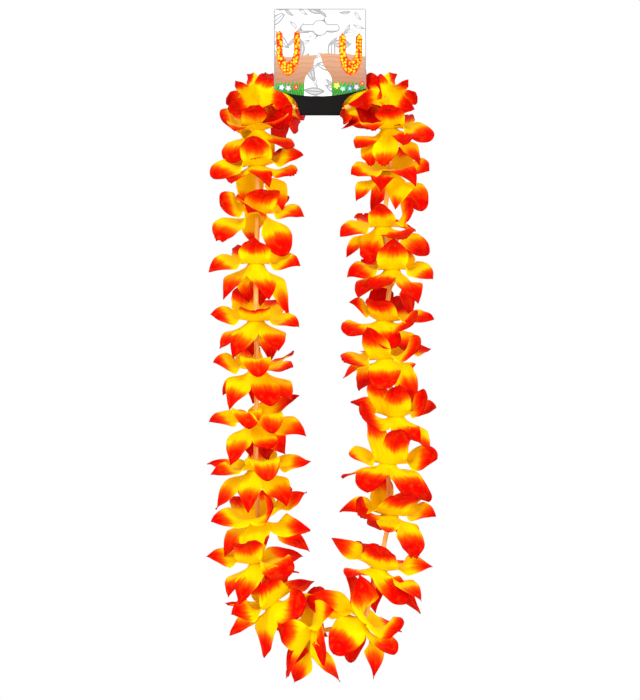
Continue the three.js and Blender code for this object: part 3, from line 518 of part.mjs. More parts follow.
// ---- spacer tubes, one between each two flowers and one on each side of the sleeve ----
// the thread runs straight through a hub, out to here; further where the flower is turned to the front
const port = (i) => HUB_HALF + 0.4 + (Math.abs(axes[i].y) > 0.5 ? 1.2 : 0);
const stops = [{ p: sleeveL }, ...hubs.map((h, i) => {
  const before = i ? hubs[i - 1] : sleeveL, s = Math.sign(axes[i].dot(before.clone().sub(h)));
  return { p: h.clone().addScaledVector(axes[i], s * port(i)), q: h.clone().addScaledVector(axes[i], -s * port(i)), axis: axes[i] };
}), { p: sleeveR }];
const tubes = [];
for (let i = 0; i + 1 < stops.length; i++) {
  const a = stops[i].q || stops[i].p, b = stops[i + 1].p, d = b.clone().sub(a), L = d.length();
  d.normalize();
  // a tube that leans against a hub stops further from it
  const end = (axis) => {
    if (!axis) return 4.2;
    const c = Math.abs(axis.dot(d)), sn = Math.sqrt(Math.max(0, 1 - c * c));
    if (c < 0.5) return Math.min(7, Math.max(3, (HUB_HALF + TUBE_RO * sn + 0.35 - 2.9) / c));
    return Math.max(0.5, (TUBE_RO * sn + 0.1) / c);
  };
  tubes.push({ a: a.clone().addScaledVector(d, end(stops[i].axis)), b: a.clone().addScaledVector(d, L - end(stops[i + 1].axis)), d, from: a.clone(), to: b.clone() });
}
for (const t of tubes) {
  const c = t.a.clone().add(t.b).multiplyScalar(0.5), h = t.a.distanceTo(t.b) / 2;
  t.solid = closed(ring(TUBE_RI, TUBE_RO, -h, h, 8, c, t.d));
  const span = t.from.distanceTo(t.to) / 2 + 0.5;      // clearance all the way from hub to hub
  t.fat = closed(rod(TUBE_RO + GAP + 0.1, -span, span, 8, t.from.clone().add(t.to).multiplyScalar(0.5), t.d));
}

// ---- flowers ----
const hubSolid = hubs.map((h, i) => closed(ring(HUB_HOLE, HUB_R, -HUB_HALF, HUB_HALF, 6, h, axes[i])));
const hubFat = hubs.map((h, i) => closed(rod(HUB_R + GAP + 0.1, -HUB_HALF - GAP, HUB_HALF + GAP, 6, h, axes[i])));
const hubCore = hubs.map((h, i) => closed(rod(HUB_HOLE, -HUB_HALF - 2, HUB_HALF + 2, 10, h, axes[i])));

const boxHit = (p, q) => p.min.every((v, k) => v < q.max[k]) && q.min.every((v, k) => v < p.max[k]);
// the part of a cut petal that is still joined to its flower
function keepBase(solid, base) {
  const parts = solid.decompose();
  if (parts.length < 2) return solid;
  let best = null, dist = Infinity;
  for (const s of parts) {
    const { min, max } = s.boundingBox();
    const d = new THREE.Box3(new THREE.Vector3(...min), new THREE.Vector3(...max)).distanceToPoint(base);
    const key = d - 1e-4 * s.volume();
    if (key < dist) { dist = key; best = s; }
  }
  return best;
}
const petals = PETALS.map((row) => {
  const solid = closed(petalGeometry(row)), fat = closed(petalGeometry(row, GAP)).add(solid);
  return { row, flower: row[0], base: new THREE.Vector3(row[2], row[3], row[4]), solid, fat, full: solid.volume() };
});
function cut(p, by) {
  if (!boxHit(p.solid.boundingBox(), by.boundingBox())) return;
  const s = p.solid.subtract(by);
  if (p.solid.volume() - s.volume() < 1e-4) return;
  p.solid = keepBase(s, p.base);
  p.cut = true;
}
for (const p of petals) {
  cut(p, fatCard);
  for (const t of tubes) cut(p, t.fat);
  hubFat.forEach((h, i) => { if (i !== p.flower) cut(p, h); });
}
for (let i = 0; i < petals.length; i++) {
  for (let j = i + 1; j < petals.length; j++) {
    const p = petals[i], q = petals[j];
    if (p.flower === q.flower || !boxHit(p.fat.boundingBox(), q.fat.boundingBox())) continue;
    if (p.solid.intersect(q.fat).volume() < 1e-5 && q.solid.intersect(p.fat).volume() < 1e-5) continue;
    const a = keepBase(p.solid.subtract(q.fat), p.base), b = keepBase(q.solid.subtract(p.fat), q.base);
    if (p.solid.volume() - a.volume() <= q.solid.volume() - b.volume()) { p.solid = a; p.cut = true; } else { q.solid = b; q.cut = true; }
  }
}
function flowerSolid(i) {
  let s = hubSolid[i];
  for (const p of petals) if (p.flower === i) s = s.add(p.solid.subtract(hubCore[i]));
  return keepBase(s, hubs[i].clone().addScaledVector(axes[i], 0));
}

// ---- the thread, one closed loop whose two ends meet in a knot inside the sleeve ----
const KNOT_X = 4;
const knots = [V([KNOT_X - 0.4, 0, SLEEVE_Z]), ...stops.flatMap((s) => (s.q ? [s.p, s.q] : [s.p])), V([KNOT_X + 0.4, 0, SLEEVE_Z])];
class Route extends THREE.Curve {
  getPoint(t) {
    const u = t * (knots.length - 1), i = Math.min(knots.length - 2, Math.floor(u + 1e-9));
    return knots[i].clone().lerp(knots[i + 1], u - i);
  }
  getPointAt(u) { return this.getPoint(u); }
  getTangentAt(u) {
    const i = Math.round(u * (knots.length - 1));
    const a = knots[Math.max(0, i - 1)], b = knots[Math.min(knots.length - 1, i + 1)], c = knots[i];
    const p = c.clone().sub(a).normalize(), q = b.clone().sub(c).normalize();
    return p.add(q).normalize();
  }
}
const section = new THREE.Shape();
for (let i = 0; i < 6; i++) { const a = i * Math.PI / 3; (i ? section.lineTo : section.moveTo).call(section, THREAD_R * Math.cos(a), THREAD_R * Math.sin(a)); }
section.closePath();
const threadTube = toSolid(new THREE.ExtrudeGeometry(section, { steps: knots.length - 1, bevelEnabled: false, extrudePath: new Route() }));
const knot = new THREE.IcosahedronGeometry(1.1, 0);
knot.translate(KNOT_X, 0, SLEEVE_Z);
const threadSolid = threadTube.add(toSolid(knot));

// ---- the group ----
const group = new THREE.Group();
const fabric = new THREE.MeshStandardMaterial({ color: 0xff7a00, roughness: 0.85, metalness: 0 });
const fabricRed = new THREE.MeshStandardMaterial({ color: 0xff5a00, roughness: 0.85, metalness: 0 });
const plastic = new THREE.MeshStandardMaterial({ color: 0xffa860, roughness: 0.35, metalness: 0 });
const cotton = new THREE.MeshStandardMaterial({ color: 0xf2cf5a, roughness: 0.9, metalness: 0 });
const board = new THREE.MeshStandardMaterial({ color: 0xf3f0ea, roughness: 0.45, metalness: 0 });
function piece(name, solid, material) {
  const m = new THREE.Mesh(toGeometry(solid), material);
  m.name = name;
  group.add(m);
}
piece('header_card', cardSolid, board);
piece('stringing_thread', threadSolid, cotton);
tubes.forEach((t, i) => piece('spacer_tube_' + String(i + 1).padStart(2, '0'), t.solid, plastic));
names.forEach((n, i) => piece(n, flowerSolid(i), i % 2 ? fabric : fabricRed));

export default group;
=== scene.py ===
# Artificial flower lei on a hanging header card: the visible surfaces.
# Twenty-seven flowers of two dyed fabric layers, twenty-eight translucent tubes and a
# twisted thread hang from a folded, printed cardboard header. Tables are in millimetres.
import bpy
import math
import numpy as np
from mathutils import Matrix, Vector


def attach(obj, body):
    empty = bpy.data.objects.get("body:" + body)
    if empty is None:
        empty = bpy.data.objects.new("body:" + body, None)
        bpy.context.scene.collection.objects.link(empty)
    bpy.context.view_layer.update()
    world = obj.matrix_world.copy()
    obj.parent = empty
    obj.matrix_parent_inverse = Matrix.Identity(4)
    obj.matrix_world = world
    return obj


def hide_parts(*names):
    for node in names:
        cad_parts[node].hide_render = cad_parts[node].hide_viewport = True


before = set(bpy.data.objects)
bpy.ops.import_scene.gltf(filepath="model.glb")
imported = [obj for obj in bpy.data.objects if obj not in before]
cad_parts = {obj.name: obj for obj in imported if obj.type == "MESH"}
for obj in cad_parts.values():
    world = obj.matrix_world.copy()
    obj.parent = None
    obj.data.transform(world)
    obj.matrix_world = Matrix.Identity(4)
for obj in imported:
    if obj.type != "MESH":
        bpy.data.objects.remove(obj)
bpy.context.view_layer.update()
MM = 0.001

# Flowers along the thread: [hub centre, axis].
FLOWERS = [
  [[-30.6,0,-64.6],[0.459,-0.887,-0.051]],
  [[-52.7,0,-58.6],[-0.204,-0.967,-0.153]],
  [[-54.4,0,-86.7],[0.014,0,1]],
  [[-53.5,0,-117.3],[-0.024,0,1]],
  [[-52.7,0,-158.1],[0.01,0,1]],
  [[-54.4,0,-200.6],[0.019,0,1]],
  [[-54.4,0,-249],[-0.009,0,1]],
  [[-53.5,0,-290.7],[0,0,1]],
  [[-54.4,0,-336.6],[0.01,0,1]],
  [[-54.4,0,-375.7],[-0.021,0,1]],
  [[-52.7,0,-418.2],[-0.011,0,1]],
  [[-53.5,0,-454.8],[-0.163,0,0.987]],
  [[-40.8,0,-490.4],[-0.574,0,0.819]],
  [[-7.6,0,-513.4],[-0.985,0,0.174]],
  [[36.5,0,-504.9],[0.669,0,0.743]],
  [[50.1,0,-459.8],[0.245,0,0.97]],
  [[59.5,0,-413.9],[0.085,0,0.996]],
  [[57.8,0,-370.6],[0.061,0,0.998]],
  [[64.6,0,-330.6],[-0.029,0,1]],
  [[55.2,0,-281.3],[-0.114,0,0.993]],
  [[55.2,0,-249],[0.078,0,0.997]],
  [[61.2,0,-205.7],[-0.021,0,1]],
  [[53.5,0,-169.2],[-0.02,0,1]],
  [[59.5,0,-122.4],[0.061,0,0.998]],
  [[58.6,0,-85.8],[-0.06,0,0.998]],
  [[55.7,0,-58.6],[0.204,-0.967,-0.153]],
  [[32.3,0,-64.6],[-0.459,-0.887,-0.051]],
]

# Petals: [flower, layer (0 upper, 1 lower), centre line as four Bezier points,
# normal of the outer half, greatest width, tip (0 pointed 1 round 2 ragged 3 notched), start of the red].
PETALS = [
  [0,0,-35.1,-3.1,-60.2,-39.9,-3.2,-48.1,-32.3,21.7,-40.4,-27.2,44,-34,0.89,-0.33,0.31,22,1,0.2],
  [0,0,-27.9,0.4,-58.1,-21.4,6.4,-48.6,-15,21,-51,-11.9,37.1,-52.7,0.93,-0.36,-0.08,21.6,0,0.2],
  [0,0,-29,0.7,-71.4,-23.9,6.7,-81.7,-19.3,25.7,-79.4,-17,44,-77.3,0.97,-0.22,-0.07,21.6,0,0.05],
  [0,0,-35.7,-3,-68.4,-42.3,-2.7,-79.6,-34.9,19.2,-85,-29.8,38.7,-89.2,0.86,-0.34,-0.37,24.2,1,0.05],
  [0,0,-24.2,2.8,-65.1,-17.5,13.9,-65.7,-34.5,29.6,-64.2,-49.3,44,-62.9,-0.76,-0.65,0.02,21.6,1,0.3],
  [0,1,-35.2,-2.1,-59.8,-42.1,5.1,-51.4,-41.3,25.3,-43.3,-41.6,44,-36.5,0.78,-0.22,0.58,28.6,0,0.05],
  [0,1,-28,1.5,-58.3,-25.4,10.8,-49.5,-18.3,24.8,-44.9,-14.4,40.1,-40.8,0.88,-0.42,0.21,21.6,1,0.2],
  [0,1,-24.7,3.7,-65.5,-19.7,15.6,-66.2,-15.2,29.9,-66.3,-12.8,44,-66.3,0.96,-0.27,-0.09,21.6,1,0.2],
  [0,1,-29.9,1.3,-71.5,-31.9,11.8,-78.9,-32,26.7,-83.8,-34.9,44,-87.5,0.58,-0.2,-0.79,27.8,0,0.05],
  [0,1,-36.4,-2.2,-67.9,-44.9,6,-73.2,-45.1,19.6,-76.6,-47.6,35.3,-79,0.26,-0.19,-0.95,26.7,0,0.15],
  [1,0,-50.7,-2,-52.2,-46.1,0.9,-40.4,-43.3,16.3,-38.9,-40.8,30.3,-37.4,0.26,-0.29,0.92,14,0,0.06],
  [1,0,-58.3,0,-54.5,-63.6,-11.8,-53.2,-68.2,-28,-50,-71,-37,-46.8,0.18,-0.27,-0.95,11.6,0,0.34],
  [1,0,-58.4,1.3,-62.6,-64.4,-9.7,-66.2,-72.4,-25.7,-69.1,-77.8,-32.7,-70.5,0.86,-0.5,0.06,13.5,1,0.2],
  [1,0,-50.7,0.1,-65.4,-51.4,-11.7,-70.8,-53.2,-29,-72.1,-53.5,-37.7,-72.2,-0.36,-0.08,0.93,26.7,0,0.18],
  [1,0,-45.9,-1.9,-59,-36.7,-10.8,-61.1,-29.9,-16.4,-64.2,-23.8,-18.3,-66.3,-0.58,-0.81,-0.04,17.3,0,0.16],
  [1,1,-55.6,0.1,-52.3,-57.7,10.4,-44.6,-60,23,-40.9,-61.2,36.5,-37.4,-0.89,-0.26,0.38,15.5,0,0.42],
  [1,1,-59.4,2,-59.3,-72,-1,-60.1,-77.3,-15.8,-60.8,-80.3,-22,-60.4,0.8,-0.45,-0.39,13.5,1,0.28],
  [1,1,-53.8,1.8,-65.3,-57.9,-0.1,-77.5,-62.3,-9.2,-81.4,-65.5,-14.5,-84.1,0.36,-0.68,0.64,13.5,0,0.12],
  [1,1,-46.6,-0.2,-62,-36.2,-4.7,-68.6,-30.1,-22.4,-76,-24.6,-34.4,-81.6,-0.77,-0.54,0.34,28.5,1,0.1],
  [1,1,-47.7,-1.3,-53.9,-42.1,9.5,-49.4,-40.3,24,-48.6,-38.2,38.5,-47.6,0.76,-0.2,0.61,13.7,1,0.12],
  [2,0,-55.1,-7,-86.2,-55.8,-18.1,-79.5,-55.5,-32.3,-71.4,-55.2,-44,-69.7,0.01,0.4,0.92,21.6,2,0.34],
  [2,0,-61.2,-1.5,-86.1,-72.5,-6.3,-81.9,-78,-14.9,-79.1,-82.5,-21.9,-80.8,0.68,-0.44,0.59,26.9,1,0.5],
  [2,0,-49.7,5.2,-86.3,-43.4,15.9,-82.4,-43.8,31.4,-77.7,-44.2,44,-79,0.01,-0.17,0.99,21.6,2,0.71],
  [2,0,-48,-2.8,-86.3,-38.4,-11.3,-80.6,-38.3,-29.3,-77.3,-38.2,-44,-85,-0.27,-0.04,0.96,27.6,2,0.62],
  [2,0,-57.9,6.1,-86.1,-62.7,15.7,-78.9,-68.2,31.3,-69.7,-72.8,44,-66.1,0.05,-0.43,0.9,24.1,0,0.42],
  [2,1,-59.1,-5.2,-87.1,-66.3,-15.9,-84.6,-69,-29.7,-80.7,-71.4,-41,-91,0.12,-0.14,0.98,26.2,0,0.59],
  [2,1,-60.8,2.8,-87.1,-68.8,3.6,-97.3,-72.1,-1.1,-105.6,-74.8,-5,-114.8,-0.5,-0.71,0.5,28.4,1,0.41],
  [2,1,-50.9,-6.1,-87.3,-50.3,-13.4,-98,-55.3,-14,-103.6,-59.5,-14.6,-112.2,-0.4,-0.83,0.39,27.5,2,0.65],
  [2,1,-47.6,1.5,-87.3,-36,-0.8,-92.8,-31.6,-16.3,-97.6,-28.1,-28.9,-105.4,0.17,-0.37,0.91,22.7,1,0.38],
  [2,1,-53.7,7,-87.2,-51.8,18.3,-93.4,-46.6,32.4,-101.1,-42.5,44,-112.2,0.19,0.51,0.84,23,0,0.53],
  [3,0,-53.8,-7,-116.8,-54.4,-17.1,-108.7,-55.3,-31.9,-99.7,-56.1,-44,-93.5,0,0.51,0.86,27.3,0,0.34],
  [3,0,-60.3,-1.9,-117,-72.3,-6.9,-117.2,-81.7,-15.3,-122,-89.2,-22.2,-130,-0.02,-0.57,0.82,26.7,1,0.47],
  [3,0,-47,-2.4,-116.6,-35.7,-7.4,-112.6,-23.6,-15.4,-108,-13.6,-22,-110.5,-0.49,-0.61,0.63,25.8,0,0.5],
  [3,0,-57.5,5.8,-116.9,-63.5,14.4,-109.2,-70,23.8,-101.9,-75.2,31.5,-98.5,0.24,-0.43,0.87,25.2,1,0.46],
  [3,0,-49.3,5.5,-116.7,-42.2,13.7,-109.4,-35.1,19.2,-104.3,-29.2,23.7,-102,-0.35,-0.29,0.89,26.5,2,0.48],
  [3,1,-60.4,-1.5,-118,-70.5,-7.4,-123.6,-72.4,-21.6,-127.2,-74,-33.1,-135.2,-0.13,-0.39,0.91,21.6,0,0.44],
  [3,1,-47.1,-2.8,-117.6,-36.3,-8.8,-121.5,-29,-16.1,-121.8,-22.9,-22,-127.5,-0.04,-0.43,0.9,27.8,2,0.53],
  [3,1,-54.3,-7,-117.8,-53.6,-18.6,-121.3,-47.3,-29.8,-125.7,-42.1,-39,-136.8,0.19,-0.46,0.87,21.6,0,0.26],
  [3,1,-48.9,5.2,-117.7,-41.7,8.3,-128.1,-36.1,2.7,-140.6,-31.4,-1.9,-154.7,0.59,-0.66,0.46,28.2,0,0.62],
  [3,1,-57,6.1,-117.9,-59.8,12.9,-128.6,-59.7,16.6,-136.8,-59.5,19.6,-148.8,-0.14,0.92,0.37,23.5,1,0.65],
  [4,0,-52.5,-7,-157.6,-51.1,-17.9,-150.6,-46.3,-30.5,-141.3,-42.5,-40.8,-139.4,-0.14,0.44,0.89,28.6,2,0.34],
  [4,0,-59.3,-2.4,-157.5,-70.1,-7.8,-152.7,-77.8,-15.6,-150,-84.1,-22,-150.4,0.64,-0.58,0.5,27.9,1,0.47],
  [4,0,-46,-1.9,-157.7,-33.9,-6.6,-156.4,-22.7,-14.9,-156.5,-13.6,-21.6,-162.3,-0.17,-0.48,0.86,28.4,0,0.47],
  [4,0,-57,5.5,-157.6,-62.2,15.4,-150.9,-62.5,31.1,-141.5,-62.9,44,-139.4,0.05,-0.41,0.91,21.6,1,0.47],
  [4,0,-48.8,5.8,-157.6,-42.7,14.7,-150.4,-36.1,24.4,-144.5,-30.7,32.4,-141.1,-0.03,-0.49,0.87,23.4,1,0.46],
  [4,1,-53.4,-7,-158.6,-55.1,-19.8,-155.1,-57.9,-33.1,-150.2,-60.4,-44,-158.9,0.49,-0.12,0.86,26.4,0,0.23],
  [4,1,-59.6,-1.5,-158.5,-70.1,-5.3,-165.1,-79,-13.6,-171.4,-86.3,-20.3,-181,-0.18,-0.61,0.77,28.5,3,0.53],
  [4,1,-56.2,6.1,-158.6,-60.4,16.5,-165.1,-59.9,29,-170.1,-59.5,39.1,-180.2,-0,0.53,0.85,21.6,0,0.65],
  [4,1,-46.3,-2.8,-158.7,-39.4,-6.2,-169.1,-35,-8.8,-179.8,-31.4,-10.9,-194.7,0.41,-0.85,0.33,28,1,0.44],
  [4,1,-48,5.2,-158.6,-41,12.4,-166.9,-35.1,16.6,-173.7,-30.3,20.1,-183.6,0.67,0.34,0.66,26.3,1,0.46],
  [5,0,-54.6,-7,-200.1,-54.9,-17.6,-192.6,-55.6,-30.8,-185.1,-56.1,-41.6,-180.2,0.04,0.48,0.88,27.3,0,0.34],
  [5,0,-58.3,5.8,-200,-63.7,15.4,-193.1,-67.9,28.7,-186.7,-71.4,39.6,-183.6,0.15,-0.36,0.92,21.6,0,0.29],
  [5,0,-61.1,-1.9,-200,-73.1,-6.7,-198.4,-84.5,-15.1,-201.2,-93.9,-22,-207,0.1,-0.52,0.85,28.1,0,0.47],
  [5,0,-47.8,-2.4,-200.2,-36,-7.7,-198.8,-25.3,-15.6,-200.4,-16.6,-22,-203.2,-0.24,-0.53,0.82,27.4,0,0.47],
  [5,0,-50.1,5.5,-200.2,-43.9,13.7,-192.2,-37.1,24.5,-183.3,-31.5,33.3,-179.4,-0.33,-0.4,0.85,27,1,0.44],
  [5,1,-60.6,-3.3,-201,-68.7,-8.2,-209.9,-75.5,-14.3,-219.7,-81.2,-19.2,-231.2,-0.58,-0.5,0.64,28,0,0.38],
  [5,1,-53.2,-6.9,-201.1,-50.8,-16.1,-210,-46.2,-24.1,-218.8,-42.5,-30.7,-231.2,0.37,-0.67,0.65,27.3,0,0.44],
  [5,1,-47.5,-1,-201.2,-40,-1.1,-211.9,-32.5,1.5,-226.6,-26.3,3.7,-244.8,0.72,-0.66,0.24,24.9,0,0.56],
  [5,1,-51.3,6.3,-201.2,-49.5,12.2,-212.6,-50.3,15.1,-223.7,-51,17.4,-236.3,-0.03,0.96,0.26,21.6,0,0.29],
  [5,1,-59.4,4.9,-201,-63.9,11.9,-211,-62.4,17.8,-221.1,-61.2,22.6,-232.9,0.11,0.88,0.47,21.6,0,0.53],
  [6,0,-58.3,5.8,-248.6,-62.6,13.9,-239.3,-65.1,27.1,-227.7,-67.1,37.9,-219.3,0.13,-0.64,0.76,24.6,1,0.47],
  [6,0,-54.6,-7,-248.6,-55,-19.4,-241.1,-54.7,-32.9,-236.1,-54.4,-44,-242.2,-0.01,0.11,0.99,26.4,1,0.34],
  [6,0,-61.1,-1.9,-248.6,-72.9,-6.6,-245.5,-84,-15.1,-244.5,-93.1,-22,-244.8,0.43,-0.53,0.73,25.4,0,0.47],
  [6,0,-47.8,-2.4,-248.5,-36.1,-7.9,-247,-26.1,-16.2,-249.4,-17.9,-22.9,-255.8,-0.01,-0.42,0.91,28,0,0.47],
  [6,0,-50.1,5.5,-248.5,-44.4,14.9,-241.5,-41,28.2,-233.4,-38.2,39.2,-231.2,-0.13,-0.4,0.91,26.2,1,0.59],
  [6,1,-61.4,-0,-249.6,-71.8,-2.8,-256.9,-78.4,-13.2,-264,-83.7,-21.8,-273.7,-0.38,-0.46,0.8,21.6,0,0.41],
  [6,1,-56.6,-6.7,-249.6,-60.8,-14.7,-258.9,-67.6,-18.5,-268.5,-73.1,-21.6,-281.3,-0.49,-0.68,0.54,28.2,0,0.41],
  [6,1,-48.7,-4.1,-249.5,-41.1,-11.8,-256.7,-37.7,-22.7,-265,-34.9,-31.6,-274.6,0.23,-0.59,0.77,26.2,0,0.41],
  [6,1,-56.6,6.7,-249.6,-58.4,14.5,-259.8,-58.1,19.1,-267.6,-57.8,22.9,-278.8,-0.03,0.89,0.46,21.6,0,0.23],
  [6,1,-48.7,4.1,-249.5,-43.4,10.1,-259.7,-42.9,17,-270,-42.5,22.6,-283.9,0.15,0.86,0.48,21.6,0,0.47],
  [7,0,-54.8,-6.9,-290.2,-55.6,-17.1,-275.4,-53.5,-31.8,-277.1,-51.9,-36.5,-296.6,0.06,-0.46,0.89,26.3,1,0.6],
  [7,0,-56.6,6.3,-290.2,-60.3,16.1,-282.5,-62.2,31.4,-270.9,-63.8,44,-267.8,0.08,-0.5,0.86,21.6,1,0.41],
  [7,0,-60.5,-1,-290.2,-72.4,-4.7,-286.6,-82.4,-14.2,-283.6,-90.5,-22,-284.8,0.52,-0.49,0.7,26.3,0,0.53],
  [7,0,-47.4,-3.3,-290.2,-37.1,-11,-288.2,-29.8,-24.2,-288.1,-23.8,-35.1,-289.8,-0.3,-0.21,0.93,24.6,0,0.35],
  [7,0,-48.5,4.9,-290.2,-40.2,12.9,-284.3,-31.3,21.5,-279.8,-24.1,28.4,-278.2,-0.37,-0.05,0.93,24.7,1,0.45],
  [7,1,-46.5,0,-291.2,-36.6,-2.4,-299.2,-30,-10.9,-306,-24.6,-17.9,-317.9,0.41,-0.54,0.74,27.2,0,0.47],
  [7,1,-59.2,4.1,-291.2,-68.3,11.4,-297,-76.8,20.4,-303.7,-83.7,27.8,-311.9,-0.37,0.38,0.85,22.6,0,0.41],
  [7,1,-59.2,-4.1,-291.2,-66.1,-8.6,-301.3,-72.3,-11.1,-311.8,-77.3,-13.2,-323.8,-0.49,-0.75,0.44,27.8,0,0.47],
  [7,1,-51.4,-6.7,-291.2,-48.3,-15.8,-299.9,-45.1,-24.8,-310.3,-42.5,-32.1,-321.3,0.25,-0.71,0.65,25.7,1,0.35],
  [7,1,-51.4,6.7,-291.2,-50.2,16.4,-299.7,-54.4,25.8,-307.7,-57.8,33.6,-319.6,-0.23,0.67,0.7,21.6,0,0.23],
  [8,0,-59.4,-4.9,-336,-64.4,-13.7,-321.2,-61.6,-30,-319.4,-59.5,-36.1,-340,0.05,-0.34,0.94,26.7,1,0.6],
  [8,0,-51.3,-6.3,-336.1,-46.9,-15.6,-322.3,-43.4,-28.8,-323.9,-40.8,-32.4,-344.2,0.16,-0.49,0.86,28.1,1,0.64],
  [8,0,-47.5,1,-336.2,-34.5,0.2,-336.1,-22.1,-8.7,-340.6,-11.9,-15.9,-345.9,-0.07,-0.59,0.8,28.6,0,0.47],
  [8,0,-53.2,6.9,-336.1,-46.7,15,-328.3,-30.3,6.7,-316.8,-17,0,-313.6,-0.56,-0.57,0.61,26.1,0,0.47],
  [8,0,-60.6,3.3,-336,-73.2,5.2,-333.8,-84.6,-6.1,-331.3,-93.9,-15.4,-334.9,0.34,-0.41,0.85,26.2,0,0.47],
  [8,1,-60.1,-4.1,-337,-66.5,-9.2,-347.1,-71.1,-13.9,-358.2,-74.8,-17.8,-371.4,-0.5,-0.72,0.47,27.7,0,0.41],
  [8,1,-52.2,6.7,-337.1,-49.4,13.2,-348,-47,15.2,-358.1,-45,16.9,-368.9,0.64,0.7,0.32,27,0,0.29],
  [8,1,-60.1,4.1,-337,-65.4,11.6,-346.2,-62.1,19.2,-353.8,-59.5,25.4,-365.5,0.2,0.76,0.61,21.6,0,0.23],
  [8,1,-47.4,0,-337.2,-38.2,1.8,-346.2,-33.6,7.1,-353.5,-29.8,11.4,-362.9,0.77,-0.62,0.14,25.6,0,0.35],
  [8,1,-52.2,-6.7,-337.1,-48.8,-15.5,-346,-45.8,-19.6,-350.5,-43.4,-23,-358.8,0.25,-0.74,0.63,23,2,0.49],
  [9,0,-51.8,-6.5,-375.1,-48.7,-16.1,-360.8,-46.4,-29.9,-363.7,-44.2,-33.8,-384.2,0.11,-0.54,0.83,27.4,1,0.62],
  [9,0,-60.3,3.7,-375.3,-71.4,9.9,-372.2,-85.2,15.5,-370.7,-96.5,20,-371.4,-0.09,-0.37,0.93,24.2,0,0.47],
  [9,0,-59.8,-4.5,-375.3,-70.3,-12.1,-374.4,-82.4,-17.5,-374.4,-92.2,-22,-379.9,0.07,-0.44,0.89,25.7,0,0.44],
  [9,0,-47.4,0.5,-375.1,-35,0.3,-371.3,-20,-3.6,-369.3,-7.6,-6.8,-368.9,-0.22,-0.5,0.84,28.6,0,0.53],
  [9,0,-52.7,6.8,-375.2,-50.4,17.5,-368.2,-47.8,32.1,-359.6,-45.7,44,-355.9,-0.31,-0.38,0.87,26.1,2,0.42],
  [9,1,-61.4,-0.5,-376.3,-71.1,-0.9,-385,-81.1,-0.4,-397,-89.2,0,-408.8,-0.64,-0.59,0.5,24.8,0,0.47],
  [9,1,-56.1,-6.8,-376.2,-58.1,-15,-386.1,-59.8,-21.3,-398.1,-61.2,-26.4,-410.6,-0.27,-0.84,0.47,21.6,0,0.41],
  [9,1,-48.5,-3.7,-376.1,-40.4,-9.3,-384.7,-33.7,-15.9,-393.7,-28.1,-21.3,-405.4,0.22,-0.76,0.61,28.4,0,0.44],
  [9,1,-57,6.5,-376.3,-60.9,16.6,-383.4,-64.9,27,-389.8,-68,35.5,-401.2,-0.24,0.58,0.78,21.6,0,0.23],
  [9,1,-49,4.5,-376.1,-40.3,11.7,-382.4,-32.3,18.3,-388.3,-25.7,23.7,-396.2,0.54,0.21,0.81,24.4,2,0.46],
  [10,0,-51,-6.8,-417.7,-47.7,-18.2,-410.7,-42.1,-31.1,-403.7,-37.4,-41.6,-406.3,-0.93,-0.36,0.09,27.1,0,0.34],
  [10,0,-50.1,6.5,-417.7,-47.6,16.2,-409.4,-48.5,29.3,-401.2,-49.3,39.9,-396.1,0,-0.52,0.85,21.6,1,0.65],
  [10,0,-58.6,-3.7,-417.8,-69.7,-10.3,-416,-81.9,-16.7,-414.7,-91.8,-22,-419.1,0.28,-0.6,0.75,27.1,0,0.47],
  [10,0,-45.7,-0.5,-417.6,-35.8,-0.9,-409.3,-22.4,-0.4,-398,-11.5,0,-394,-0.47,-0.53,0.7,27.3,0,0.47],
  [10,0,-58.1,4.5,-417.8,-65.3,12.3,-410.2,-70.5,24.8,-401.8,-74.8,35,-398.6,0.19,-0.43,0.88,21.9,0,0.41],
  [10,1,-47,-4.1,-418.6,-35.3,-8.7,-421.7,-20.6,-3.9,-423.6,-8.5,0,-427.6,0.3,-0.71,0.64,26.8,0,0.47],
  [10,1,-47,4.1,-418.6,-36.7,8.2,-425.4,-21.7,3.7,-433.8,-9.4,0,-446.2,0.35,-0.65,0.67,26.4,0,0.44],
  [10,1,-59.7,-0,-418.8,-68.6,-0.6,-428.2,-75.8,-2.7,-436.6,-81.6,-4.3,-448.8,-0.58,-0.63,0.52,27.6,0,0.41],
  [10,1,-54.9,-6.7,-418.7,-56.8,-13,-429.9,-57.4,-15,-436.4,-57.8,-16.7,-447.1,-0.3,-0.91,0.3,22.5,1,0.62],
  [10,1,-54.9,6.7,-418.7,-56.2,17.3,-426,-51.5,29.9,-433.8,-47.6,40.3,-445.4,0.16,0.58,0.8,21.6,0,0.41],
  [11,0,-56.2,-6.5,-454.7,-60.3,-16.7,-447.7,-61.8,-31.7,-437,-62,-44,-434.3,-0.13,0.48,0.87,25.2,1,0.34],
  [11,0,-60.5,0.5,-455.4,-73,-0.6,-452,-86.3,-7.9,-448.7,-96.5,-13.9,-449.6,0.38,-0.55,0.74,25.3,0,0.47],
  [11,0,-48.3,-4.5,-453.4,-39.9,-14.2,-451.6,-33,-30.2,-458.2,-27.2,-43.2,-464.9,-0.38,-0.48,0.79,28.3,1,0.34],
  [11,0,-47.8,3.7,-453.3,-37.4,10.5,-449.3,-25.2,18.3,-447.3,-14.5,24.7,-450.5,0.27,-0.48,0.84,25.8,0,0.29],
  [11,0,-55.3,6.8,-454.5,-59.1,14.3,-444.6,-63.3,20.9,-434.5,-65.8,26.3,-431.8,-0.03,-0.77,0.64,24.4,0,0.48],
  [11,1,-60.4,-0,-456.4,-69.8,-3,-464.8,-74.5,-13.5,-471.1,-77.3,-22,-481.9,-0.46,-0.47,0.75,21.6,0,0.41],
  [11,1,-55.6,-6.7,-455.6,-58.4,-15,-465.2,-64.1,-20.3,-475.5,-68,-24.7,-488.8,-0.53,-0.66,0.54,28.2,0,0.41],
